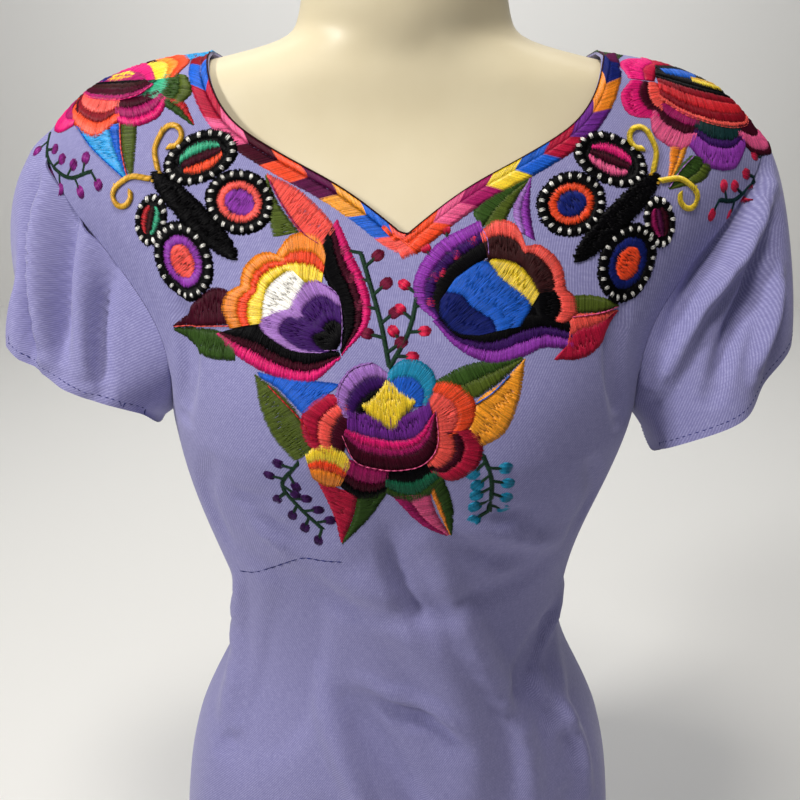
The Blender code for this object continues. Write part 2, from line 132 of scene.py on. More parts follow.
def addNode(tree, kind, settings=None, **links):
    # one node with its settings, and links given as socket name or number to a node or socket
    node = tree.nodes.new(kind)
    for key, value in (settings or {}).items():
        if isinstance(key, int) or key in node.inputs:
            node.inputs[key].default_value = value
        else:
            setattr(node, key, value)
    for key, source in links.items():
        socket = node.inputs[int(key[1:])] if key[0] == "i" and key[1:].isdigit() else node.inputs[key]
        tree.links.new(source if hasattr(source, "is_output") else source.outputs[0], socket)
    return node


def ramp(tree, stops, source):
    node = addNode(tree, "ShaderNodeValToRGB", None, Fac=source)
    node.color_ramp.elements[0].position = stops[0][0]
    node.color_ramp.elements[0].color = stops[0][1]
    for place, colour in stops[1:-1]:
        node.color_ramp.elements.new(place).color = colour
    node.color_ramp.elements[-1].position = stops[-1][0]
    node.color_ramp.elements[-1].color = stops[-1][1]
    return node


# the cloth

cloth = {
    "pieces": ("front", "back", "sleeve_left", "sleeve_right"),
    "levels": 2,
    "sharpAngle": 50,
    "axisY": 6.5 * mm,       # the plane of the side seams
    "halfWidth": 150 * mm,
    "halfDepth": 110 * mm,
    "twill": 1.3 * mm,       # the real twill is about half of this, too fine to show
    "slub": 0.7 * mm,
    "creaseDepth": 5.2,
    "creaseSteps": 24,
    "wallAndGap": 2.0 * mm,  # the cloth's wall and the least gap kept over the form
    "outerShare": 0.25,      # how much a face has to point outward to count as the outer face
    "sleeveTop": (0.150, 0.560),    # across and up, in metres, of the sleeve's middle line
    "sleeveEnd": (0.200, 0.470),
    # the ridge of the shoulder, where outward also means up: depth from, over, height from, over, rise
    "ridge": (0.02, 0.04, 0.57, 0.09, 1.4),
    # the weave's map: round the arm, round the body, and laid flat over the shoulders
    "armRound": 0.072,
    "bodyRound": 0.150,
    "flatFrom": 0.52,
    "flatOver": 0.10,
    "flatAcross": 1.5,
    "flatDeep": 0.8,
    # cut size of each piece in metres, as width and length, and the area left when it is cut to shape
    "cuts": {
        "front": (0.46, 0.70, 0.232), "back": (0.45, 0.70, 0.230),
        "sleeve_left": (0.47, 0.11, 0.028), "sleeve_right": (0.50, 0.12, 0.030),
    },
}

# main creases, a soft trough or ridge along a line. Across and up are as seen from the front, in mm
creases = {
    "front": (
        # points (across, up), half width, out
        # the cloth falls in broad folds from under the flowers
        (((-29, 406), (-10, 376), (10, 353), (28, 320), (42, 272), (50, 225)), 26, 2.3),
        (((13, 413), (27, 377), (42, 342), (56, 308), (76, 262), (84, 215)), 14, 1.9),
        (((-6, 420), (-2, 392), (6, 372), (16, 350)), 8, -1.4),
        (((-56, 372), (-66, 318), (-77, 278), (-104, 246)), 26, -2.4),
        (((-116, 240), (-108, 245), (-98, 250)), 6, -2.8),
        (((-50, 309), (-36, 269), (-22, 234), (-12, 180)), 15, 1.8),
        (((-24, 315), (-4, 308), (18, 301), (36, 283)), 6, 1.2),
        (((-20, 305), (-2, 297), (20, 289), (37, 272)), 7, -1.3),
        (((-28, 300), (-9, 268), (8, 236), (14, 200)), 13, -1.9),
        (((92, 328), (80, 310), (71, 284)), 13, -2.5),
        (((106, 334), (84, 308), (86, 290), (112, 250), (124, 205)), 8, 2.0),
        (((-98, 362), (-102, 326), (-105, 292), (-118, 256)), 8, 1.8),
        (((96, 300), (100, 276), (98, 250)), 12, 1.3),
        (((30, 424), (52, 416), (72, 406), (94, 394)), 7, 1.0),
        (((34, 408), (52, 399), (72, 390)), 8, -1.4),
        (((44, 432), (58, 426), (74, 424)), 5, -0.9),
        (((-92, 432), (-80, 434), (-66, 436)), 5, -1.0),
        (((-78, 424), (-68, 418), (-54, 410)), 5, -0.9),
        (((-84, 414), (-72, 408), (-60, 398)), 5, 0.9),
        (((-104, 448), (-112, 424), (-104, 392)), 8, -1.4),
        (((104, 448), (112, 424), (102, 396)), 8, -1.4),
        (((-120, 540), (-114, 505), (-120, 470)), 9, -1.4),
        (((118, 536), (114, 505), (122, 468)), 9, -1.4),
        (((-98, 392), (-50, 374), (-10, 366), (50, 372), (98, 388)), 14, -0.9),
        # below the photo's edge the folds run on to the hem
        (((-8, 210), (-10, 140), (-6, 60)), 15, 1.7),
        (((28, 200), (34, 130), (30, 60)), 14, -1.5),
        (((-48, 220), (-58, 140), (-54, 60)), 16, -1.6),
        (((64, 200), (68, 130), (72, 60)), 16, 1.8),
        (((-94, 200), (-100, 130), (-104, 60)), 15, 1.5),
        (((108, 210), (114, 130), (112, 60)), 13, -1.4),
    ),
    "back": (
        (((-60, 560), (-74, 500), (-70, 430), (-52, 370)), 14, -1.6),
        (((64, 570), (72, 505), (66, 440), (58, 380)), 14, -1.4),
        (((-6, 400), (-18, 330), (-10, 260), (-24, 180), (-16, 90)), 13, 2.0),
        (((34, 330), (28, 260), (46, 190), (40, 110)), 11, -1.6),
        (((-52, 320), (-44, 270), (-66, 200), (-60, 110)), 12, -1.7),
        (((78, 300), (72, 240), (96, 180), (90, 90)), 11, 1.8),
        (((-90, 300), (-86, 250), (-104, 190)), 10, 1.6),
        (((-30, 345), (4, 336), (40, 342)), 8, -1.3),
        (((-58, 318), (-20, 306), (10, 310)), 8, 1.1),
    ),
    "sleeve_left": (
        (((-208, 590), (-212, 560), (-211, 530), (-208, 492)), 8, -2.8),
        (((-200, 600), (-202, 555), (-199, 500)), 9, 2.2),
        (((-188, 590), (-191, 540), (-187, 492)), 8, -1.9),
        (((-176, 575), (-178, 530), (-174, 486)), 9, 1.7),
        (((-162, 550), (-167, 520), (-163, 484)), 7, -1.5),
    ),
    "sleeve_right": (
        (((212, 590), (191, 556), (166, 526), (144, 484)), 10, 2.6),
        (((209, 604), (178, 556), (158, 528), (149, 512)), 9, -2.2),
        (((214, 570), (200, 535), (184, 510), (172, 482)), 9, -2.2),
        (((147, 545), (158, 549), (170, 552)), 6, -1.0),
        (((216, 545), (208, 520), (198, 490)), 8, 2.0),
    ),
}


def sleeveAxis(point):
    # where the middle of the sleeve starts, the way it runs and how far along it the point is
    side = -1 if point.x < 0 else 1
    top, end = cloth["sleeveTop"], cloth["sleeveEnd"]
    start = Vector((side * top[0], cloth["axisY"], top[1]))
    way = (Vector((side * end[0], cloth["axisY"], end[1])) - start).normalized()
    return start, way, (point - start).dot(way)


def outwardAt(point, piece):
    # the way out of the garment at a point, the same for both faces of the wall
    if piece.startswith("sleeve"):
        start, way, along = sleeveAxis(point)
        return (point - start - way * along).normalized()
    way = Vector((point.x / cloth["halfWidth"] ** 2, (point.y - cloth["axisY"]) / cloth["halfDepth"] ** 2, 0))
    way.normalize()
    deepFrom, deepOver, highFrom, highOver, rise = cloth["ridge"]
    ridge = min(max(1 - (abs(point.y - cloth["axisY"]) - deepFrom) / deepOver, 0.0), 1.0)
    way.z = rise * ridge * min(max((point.z - highFrom) / highOver, 0.0), 1.0)
    return way.normalized()


def pressCreases(thing, piece, under):
    # each vertex is pushed out or in by the lines near it, and never into the form
    steps = cloth["creaseSteps"]
    lines = []
    for points, half, out in creases[piece]:
        line = smoothLine(points)
        lines.append(([line(i / steps) for i in range(steps + 1)], half, out))
    for vertex in thing.data.vertices:
        spot = Vector((vertex.co.x / mm, vertex.co.z / mm))
        push = 0.0
        for line, half, out in lines:
            gaps = [(spot - point).length for point in line]
            nearest = min(gaps)
            if nearest < half:
                share = gaps.index(nearest) / steps
                ends = math.sin(math.pi * min(max(share, 0.04), 0.96)) ** 0.6
                push += out * ends * (0.5 + 0.5 * math.cos(math.pi * nearest / half))
        if push:
            push *= cloth["creaseDepth"] * mm
            if push < 0:
                push = max(push, min(cloth["wallAndGap"] - under.find_nearest(vertex.co)[3], 0.0))
            vertex.co += outwardAt(vertex.co, piece) * push


def mapCloth(thing, piece):
    # a flat map in metres for the weave, round the body or round the arm
    uv = thing.data.uv_layers.new(name="weaveMap")
    for polygon in thing.data.polygons:
        for loop in polygon.loop_indices:
            point = thing.data.vertices[thing.data.loops[loop].vertex_index].co
            if piece.startswith("sleeve"):
                start, way, along = sleeveAxis(point)
                out = point - start - way * along
                turn = math.atan2(out.dot(Vector((0, 1, 0)).cross(way)), -out.y)
                uv.data[loop].uv = (cloth["armRound"] * turn, along)
            else:
                depth = abs(point.y - cloth["axisY"])
                turn = math.atan2(point.x, depth)
                flat = min(max((point.z - cloth["flatFrom"]) / cloth["flatOver"], 0.0), 1.0)
                across = (1 - flat) * cloth["bodyRound"] * turn + flat * cloth["flatAcross"] * point.x
                uv.data[loop].uv = (across, point.z - flat * cloth["flatDeep"] * depth)


def makeCloth(material, form):
    faces = [list(face.vertices) for face in form.data.polygons]
    under = BVHTree.FromPolygons([vertex.co for vertex in form.data.vertices], faces)
    shells = {}
    for piece in cloth["pieces"]:
        shell = copyOfNode(piece, "cloth_" + piece)
        smoothCopy(shell, cloth["levels"], cloth["sharpAngle"])
        mapCloth(shell, piece)
        pressCreases(shell, piece, under)
        shell.data.materials.append(material)
        shell.data.update()
        shells[piece] = shell
        print("cloth piece", piece, len(shell.data.polygons), "faces")
    return shells


# finding places on the cloth

def smoothLine(points):
    # a smooth curve through a few points, as a function of the share of its length
    points = [Vector(point) for point in points]
    if len(points) == 2:
        return lambda share: points[0].lerp(points[1], share)
    ends = [points[0] * 2 - points[1]] + points + [points[-1] * 2 - points[-2]]
    dense = [points[0]]
    for a, b, c, d in zip(ends, ends[1:], ends[2:], ends[3:]):
        for step in range(1, 9):
            t = step / 8
            dense.append(
                (b * 2 + (c - a) * t + (a * 2 - b * 5 + c * 4 - d) * t * t
                 + (b * 3 - a - c * 3 + d) * t ** 3) / 2
            )
    along = [0.0]
    for a, b in zip(dense, dense[1:]):
        along.append(along[-1] + (b - a).length)

    def at(share):
        wanted = min(max(share, 0.0), 1.0) * along[-1]
        i = min(max(bisect.bisect_right(along, wanted) - 1, 0), len(dense) - 2)
        span = along[i + 1] - along[i]
        return dense[i].lerp(dense[i + 1], (wanted - along[i]) / span if span else 0.0)

    return at


def outerFaces(thing, piece):
    # the wall's outer faces, as lists of vertex numbers
    return [
        list(polygon.vertices)
        for polygon in thing.data.polygons
        if polygon.normal.dot(outwardAt(polygon.center, piece)) > cloth["outerShare"]
    ]


def clothTree(shells):
    points = []
    faces = []
    for piece, shell in shells.items():
        first = len(points)
        points += [vertex.co.copy() for vertex in shell.data.vertices]
        faces += [[first + v for v in face] for face in outerFaces(shell, piece)]
    return BVHTree.FromPolygons(points, faces)


def edgeLoops(thing, piece):
    # the outer face's edges, each a closed round of points
    counted = {}
    for face in outerFaces(thing, piece):
        for a, b in zip(face, face[1:] + face[:1]):
            counted[(a, b)] = True
    following = {a: b for a, b in counted if (b, a) not in counted}
    loops = []
    while following:
        start, here = following.popitem()
        loop = [start]
        while here != start and here in following:
            loop.append(here)
            here = following.pop(here)
        loops.append([thing.data.vertices[v].co.copy() for v in loop])
    return sorted(loops, key=len, reverse=True)


mapStep = 2.0     # mm between the rings of a motif's map
mapSpokes = 72


def marchOver(tree, here, facing, way, steps):
    # points and normals of a walk over the cloth, a map step at a time
    row = [(here.copy(), facing)]
    for _ in range(steps):
        place, facing, _, _ = tree.find_nearest(here + way * (mapStep * mm))
        move = place - here
        move -= facing * move.dot(facing)
        if move.length > 0.2 * mm:
            way = move.normalized()
        here = place
        row.append((place, facing))
    return row


def motifMap(tree, spot, reach):
    # flat millimetres round a spot of the cloth, carried along the cloth in every direction
    start, normal, _, _ = tree.find_nearest(spot)
    up = (Vector((0, 0, 1)) - normal * normal.z).normalized()
    right = up.cross(normal)
    rings = int(reach / mapStep) + 2
    spokes = []
    for spoke in range(mapSpokes):
        angle = 2 * math.pi * spoke / mapSpokes
        way = right * math.cos(angle) + up * math.sin(angle)
        spokes.append(marchOver(tree, start, normal, way, rings))

    def at(x, y):
        radius = math.hypot(x, y) / mapStep
        ring = min(int(radius), rings - 1)
        out = min(radius - ring, 1.0)
        angle = (math.atan2(y, x) / (2 * math.pi) * mapSpokes) % mapSpokes
        spoke = int(angle) % mapSpokes
        across = angle - int(angle)
        following = spokes[(spoke + 1) % mapSpokes]
        low = spokes[spoke][ring][0].lerp(following[ring][0], across)
        high = spokes[spoke][ring + 1][0].lerp(following[ring + 1][0], across)
        lowWay = spokes[spoke][ring][1].lerp(following[ring][1], across)
        highWay = spokes[spoke][ring + 1][1].lerp(following[ring + 1][1], across)
        return low.lerp(high, out), lowWay.lerp(highWay, out).normalized()

    return at


def edgeMap(tree, edge, width):
    # flat millimetres along an edge of the cloth and in from it
    line = smoothLine(edge)
    length = sum((b - a).length for a, b in zip(edge, edge[1:])) / mm
    count = int(length / mapStep) + 1
    depth = int(width / mapStep) + 2
    rows = []
    for i in range(count + 1):
        here = line(i / count)
        way = (line(min((i + 1) / count, 1.0)) - line(max((i - 1) / count, 0.0))).normalized()
        _, facing, _, _ = tree.find_nearest(here)
        across = facing.cross(way).normalized()
        down = (Vector((0, 0, -1)) + way * way.z).normalized()
        tried = [marchOver(tree, here, facing, start, depth) for start in (across, -across, down, -down)]
        rows.append(max(tried, key=lambda row: (row[-1][0] - row[0][0]).length))

    def at(x, y):
        along = min(max(x / length * count, 0.0), count - 1e-6)
        i = int(along)
        down = min(max(y / mapStep, 0.0), depth - 1e-6)
        j = int(down)
        a, b = rows[i], rows[i + 1]
        low = a[j][0].lerp(b[j][0], along - i)
        high = a[j + 1][0].lerp(b[j + 1][0], along - i)
        lowWay = a[j][1].lerp(b[j][1], along - i)
        highWay = a[j + 1][1].lerp(b[j + 1][1], along - i)
        return low.lerp(high, down - j), lowWay.lerp(highWay, down - j).normalized()

    return at, length


# the embroidery: every stitch is a little half-round strand on the cloth

threads = {
    "black": "#070609", "white": "#f3f0ea", "orangeRed": "#f04a1c", "orange": "#f28c16",
    "yellow": "#f6d41a", "gold": "#e3ae1c", "amber": "#ee9c18", "jade": "#2fae85",
    "jadeDark": "#176447", "maroon": "#430c20", "darkRed": "#860f20", "crimson": "#b5153c",
    "red": "#c81f2a", "hotPink": "#df1676", "pink": "#e85a90", "coral": "#f4584e",
    "magenta": "#a51863", "plum": "#5c1546", "purple": "#6f2b8f", "violet": "#9238ad",
    "deepPurple": "#3c1760", "lilac": "#9f6fbe", "navy": "#17236f", "blue": "#1b62cf",
    "sky": "#1f9ee0", "turquoise": "#138fb8", "olive": "#505f1d", "leaf": "#34501d",
    "stem": "#1e3a29", "teal": "#143436", "brown": "#3a1a1c",
    "lavender": "#8a84bb", "raspberry": "#d8204f", "berry": "#7d1d3f", "orchid": "#8d2585",
    "aubergine": "#3f1a55",
}

floss = {
    "pitch": 0.56,      # mm between neighbouring strands
    "half": 0.50,       # half the width of a strand
    "crest": 0.50,      # height above the cloth
    "sunk": 0.06,       # how far its edges go into the cloth
    "longest": 9.0,
    "jag": 1.3,         # long and short ends where two colours meet
    "rimJag": 0.30,
    "shades": 0.22,
    "over": 0.40,       # how far a patch runs in under its neighbours
    "overlap": 0.045,   # mm that each patch lies higher than the one before
}


def newBag(seed):
    return {"points": [], "faces": [], "tints": [], "draw": random.Random(seed)}


def addStrand(bag, at, spots, thread, half=None, crest=None, lift=0.0):
    # spots are flat millimetres from the strand's start to its end
    draw = bag["draw"]
    half = half or floss["half"]
    crest = (crest or floss["crest"]) * draw.uniform(0.82, 1.2)
    shade = draw.uniform(1 - floss["shades"], 1 + floss["shades"])
    if draw.random() < 0.12:
        shade *= 0.72
    colour = linear(threads[thread])
    placed = [at(*spot) for spot in spots]
    first = len(bag["points"])
    last = len(placed) - 1
    roll = draw.uniform(-0.25, 0.25)
    for i, (place, facing) in enumerate(placed):
        before = placed[max(i - 1, 0)][0]
        after = placed[min(i + 1, last)][0]
        way = (after - before).normalized()
        side = way.cross(facing).normalized()
        end = i in (0, last)
        wide = half * (0.55 if end else 1.0) * mm
        high = (lift + (0.02 if end else crest)) * mm
        low = (lift * 0.4 - floss["sunk"]) * mm
        bag["points"] += [
            place - side * wide + facing * low,
            place + side * (wide * roll) + facing * high,
            place + side * wide + facing * low,
        ]
        # each strand's own random tone, darkened to 0.8 at both ends as painted shade where the strand dips
        # into the cloth
        toneWithEndShade = shade * (0.8 if end else 1.0)
        bag["tints"] += [tuple(min(c * toneWithEndShade, 1.0) for c in colour[:3]) + (1.0,)] * 3
        if i:
            a = first + 3 * (i - 1)
            b = a + 3
            bag["faces"] += [(a, a + 1, b + 1, b), (a + 1, a + 2, b + 2, b + 1), (a + 2, a, b, b + 2)]
    end = first + 3 * last
    bag["faces"] += [(first, first + 2, first + 1), (end, end + 1, end + 2)]


def straight(start, end):
    # flat points of a strand, about 2.5 mm apart
    length = (end - start).length
    pieces = min(max(int(length / 2.4 + 0.5), 2), 5)
    return [start.lerp(end, i / pieces) for i in range(pieces + 1)]


def longer(line, extra):
    # a line with both ends drawn out a little
    line = [Vector(point) for point in line]
    first = line[0] + (line[0] - line[1]).normalized() * extra
    last = line[-1] + (line[-1] - line[-2]).normalized() * extra
    return [first] + line[1:-1] + [last]


def fill(bag, at, inner, outer, bands, slant=0.0, lift=0.0, pitch=None, half=None, crest=None, rim=None):
    # strands from an inner line to an outer one, in bands of colour: (thread, share where it ends)
    draw = bag["draw"]
    pitch = pitch or floss["pitch"]
    rim = floss["rimJag"] if rim is None else rim
    innerAt = smoothLine(longer(inner, floss["over"]))
    outerAt = smoothLine(longer(outer, floss["over"]))

    def lengthAt(t):
        spots = [innerAt(i / 12).lerp(outerAt(i / 12), t) for i in range(13)]
        return sum((b - a).length for a, b in zip(spots, spots[1:]))

    begin = 0.0
    for thread, finish in bands:
        count = max(int(max(lengthAt(begin), lengthAt(finish)) / pitch + 0.5), 2)
        for i in range(count):
            share = min(max((i + 0.5 + draw.uniform(-0.2, 0.2)) / count, 0.0), 1.0)
            a = innerAt(share)
            b = outerAt(min(max(share + slant, 0.0), 1.0))
            reach = max((b - a).length, 0.5)
            jag = min(floss["jag"], reach * (finish - begin) * 0.4)
            startJag = draw.uniform(-rim, rim) if begin == 0.0 else draw.uniform(-1.1 * jag, -0.1 * jag)
            startJag -= floss["over"] if begin == 0.0 else 0.0
            endJag = draw.uniform(-rim, rim) if finish == 1.0 else draw.uniform(0.0, jag)
            start = a.lerp(b, begin + startJag / reach)
            end = a.lerp(b, finish + endJag / reach)
            length = (end - start).length
            if length < 0.5:
                continue
            parts = max(int(length / floss["longest"] + 0.7), 1)
            cuts = [0.0] + [(k + draw.uniform(-0.36, 0.36)) / parts for k in range(1, parts)] + [1.0]
            for low, high in zip(cuts, cuts[1:]):
                tail = 1.2 / length if high < 1.0 else 0.0
                addStrand(bag, at, straight(start.lerp(end, low), start.lerp(end, high + tail)),
                          thread, half, crest, lift)
        begin = finish


def rope(bag, at, line, width, thread, lift=0.0, pitch=0.62):
    # a stem or outline of short slanted strands along a line
    lineAt = smoothLine(line)
    length = sum((lineAt(i / 20) - lineAt((i + 1) / 20)).length for i in range(20))
    count = max(int(length / pitch), 2)
    for i in range(count + 1):
        share = i / count
        here = lineAt(share)
        way = (lineAt(min(share + 0.02, 1.0)) - lineAt(max(share - 0.02, 0.0))).normalized()
        side = Vector((-way.y, way.x))
        reach = side * (width / 2) + way * (width * 0.45)
        addStrand(bag, at, straight(here - reach, here + reach), thread, lift=lift)


def outline(bag, at, line, thread, lift=0.25, half=0.42):
    # a single line of long strands laid along an edge
    lineAt = smoothLine(line)
    length = sum((lineAt(i / 20) - lineAt((i + 1) / 20)).length for i in range(20))
    count = max(int(length / 3.2), 1)
    for i in range(count):
        a = lineAt(i / count)
        b = lineAt(min((i + 1.25) / count, 1.0))
        middle = lineAt((i + 0.6) / count)
        addStrand(bag, at, [a, middle, b], thread, half=half, lift=lift)


def bud(bag, at, spot, angle, length, width, thread, lift=0.0, half=None):
    # a small oval of side by side strands
    spot = Vector(spot)
    way = Vector((math.cos(math.radians(angle)), math.sin(math.radians(angle))))
    side = Vector((-way.y, way.x))
    count = max(int(width / 0.55), 1)
    for i in range(count):
        off = ((i + 0.5) / count - 0.5) * 2
        reach = length / 2 * math.sqrt(max(1 - off * off * 0.8, 0.1)) * bag["draw"].uniform(0.9, 1.1)
        middle = spot + side * (off * width / 2)
        addStrand(bag, at, [middle - way * reach, middle, middle + way * reach], thread, lift=lift, half=half)


def sewSprig(bag, at, sprig):
    # a stem with buds on short stalks
    rope(bag, at, sprig["stem"], sprig.get("width", 2.9), sprig["stemThread"])
    stemAt = smoothLine(sprig["stem"])
    length, width = sprig["bud"]
    for i in range(sprig["count"]):
        # on alternate sides at even steps, each leaning towards the tip
        share = (i + 1) / sprig["count"]
        foot = stemAt(share)
        along = (stemAt(min(share + 0.05, 1.0)) - stemAt(share - 0.1)).normalized()
        aside = Vector((-along.y, along.x)) * (1 if i % 2 else -1)
        way = (aside + along * 0.5).normalized()
        spot = foot + way * (length * 1.2)
        neck = spot - way * (length * 0.35)
        if (neck - foot).length > 1.0:
            rope(bag, at, (foot, neck), 2.2, sprig["stemThread"])
        bud(bag, at, spot, math.degrees(math.atan2(way.y, way.x)), length, width, sprig["thread"], lift=0.15)


def flossPiece(bag, name, material):
    mesh = bpy.data.meshes.new(name)
    mesh.from_pydata(bag["points"], [], bag["faces"])
    tint = mesh.color_attributes.new("threadTint", "FLOAT_COLOR", "POINT")
    tint.data.foreach_set("color", [value for colour in bag["tints"] for value in colour])
    mesh.shade_smooth()
    mesh.materials.append(material)
    thing = bpy.data.objects.new(name, mesh)
    scene.collection.objects.link(thing)
    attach(thing, "root")
    print("embroidery", name, sum(len(f) - 2 for f in bag["faces"]), "triangles")


# the flower on the left of the chest, in mm round its middle

leftFlower = {
    "pixel": (290, 305),
    "reach": 80,
    "grow": 1.06,
    "fills": (
        # inner line, outer line, bands
        (((-19, 65), (-17, 50), (-12, 34)), ((-18, 64), (-10, 50), (1, 37)), (("olive", 1.0),)),
        (((-18, 64), (-9, 50), (2, 36), (12, 30)), ((-18, 66), (-4, 60), (8, 51), (19, 40)),
         (("coral", 1.0),)),
        (((-72, -11), (-50, -11), (-30, -10)), ((-72, -10), (-56, -1), (-42, 8), (-31, 6)),
         (("maroon", 1.0),)),
        (((-72, -12), (-50, -12), (-36, -14), (-28, -20)), ((-72, -13), (-57, -22), (-42, -27), (-27, -28)),
         (("leaf", 1.0),)),
        (((13, 32), (15, 17), (22, 5), (27, -8), (27, -21)),
         ((19, 44), (28, 27), (37, 10), (39, -7), (28, -23)),
         (("black", 0.50), ("maroon", 0.72), ("hotPink", 1.0))),
        (((-31, -13), (-14, -10), (4, -19), (26, -22)),
         ((-39, -15), (-27, -25), (-5, -35), (14, -37), (27, -25)),
         (("black", 0.48), ("maroon", 0.70), ("hotPink", 1.0))),
        (((-3, 17), (5, 12), (14, 11)), ((-10, 25), (-3, 35), (9, 36), (15, 27)),
         (("yellow", 0.36), ("orangeRed", 0.62), ("orange", 1.0))),
        (((-13, 2), (-11, 10), (-2, 17)), ((-27, 8), (-25, 19), (-16, 26), (-6, 24)),
         (("yellow", 0.36), ("orangeRed", 0.60), ("orange", 1.0))),
        (((-13, -9), (-13, -3), (-13, 4)), ((-31, -12), (-36, -3), (-34, 5), (-25, 10)),
         (("yellow", 0.38), ("orangeRed", 0.62), ("orange", 1.0))),
        (((-8, -5), (0, -3), (4, 3), (6, 11)), ((-14, -7), (-14, 4), (-10, 11), (-2, 18)),
         (("white", 1.0),)),
        (((25, -19), (27, -15)), ((-1, -4), (1, 6), (11, 13), (23, 6)),
         (("black", 0.34), ("deepPurple", 0.74), ("lilac", 1.0))),
        (((24, -21), (26, -17)), ((16, -23), (2, -22), (-14, -12), (-10, -3), (2, -2)),
         (("black", 0.32), ("deepPurple", 0.74), ("lilac", 1.0))),
    ),
    "outlines": (
        (((-72, -11), (-50, -11), (-31, -11)), "coral"),
        (((11, 13), (22, 7), (26, -5), (27, -20)), "lilac"),
        (((26, -21), (12, -22), (0, -20), (-12, -12)), "lilac"),
        (((-17, 63), (-9, 50), (2, 37), (11, 31)), "magenta"),
    ),
}

rightFlower = {
    "pixel": (510, 290),
    "reach": 76,
    "grow": 1.05,
    "fills": (
        (((-34, -11), (-24, 0), (-10, 16)), ((2, -17), (14, -12), (22, -6)), (("black", 1.0),)),
        (((15, 56), (-1, 46), (-10, 33)), ((15, 56), (7, 45), (-1, 31)), (("olive", 1.0),)),
        (((-11, 33), (-14, 41), (-4, 51), (14, 57)), ((-11, 32), (-2, 41), (4, 47), (14, 55)),
         (("leaf", 1.0),)),
        (((15, 56), (6, 42), (7, 30)), ((16, 57), (14, 41), (15, 25)), (("lilac", 0.45), ("violet", 1.0))),
        (((62, -8), (46, -11), (30, -12)), ((62, -7), (45, -3), (31, -3)), (("olive", 1.0),)),
        (((63, -10), (44, -12), (31, -14), (29, -27)), ((63, -10), (51, -25), (37, -34), (20, -35)),
         (("coral", 0.35), ("crimson", 1.0))),
        (((-9, 18), (-22, 8), (-30, 0), (-34, -11)), ((-12, 36), (-34, 25), (-46, 9), (-46, -4), (-38, -13)),
         (("black", 0.42), ("deepPurple", 0.66), ("violet", 1.0))),
        (((-34, -12), (-26, -20), (-11, -20), (2, -14), (13, -12), (29, -16)),
         ((-39, -14), (-28, -28), (-12, -36), (4, -33), (15, -29), (31, -30)),
         (("black", 0.40), ("deepPurple", 0.66), ("violet", 1.0))),
        (((-9, 16), (0, 14), (8, 12)), ((-12, 30), (-4, 36), (6, 33), (10, 22)),
         (("brown", 0.62), ("coral", 1.0))),
        (((7, 12), (11, 5), (13, -2)), ((9, 22), (18, 22), (27, 13), (29, 0)),
         (("brown", 0.66), ("coral", 1.0))),
        (((13, -1), (12, -8), (13, -14)), ((28, 1), (34, -5), (34, -12), (27, -17)),
         (("black", 0.60), ("coral", 1.0))),
        (((-9, 14), (-5, 6), (2, -1), (10, -8)), ((-7, 16), (1, 15), (9, 9), (15, -1)), (("yellow", 1.0),)),
        (((-35, -5), (-35, -12), (-28, -20), (-18, -22)), ((-25, 8), (-11, 15), (-2, 6), (10, -6), (4, -18)),
         (("navy", 0.42), ("blue", 1.0))),
    ),
    "outlines": (
        (((62, -8), (46, -12), (31, -14)), "pink"),
        (((-12, 34), (-9, 26), (-9, 18)), "lilac"),
    ),
}

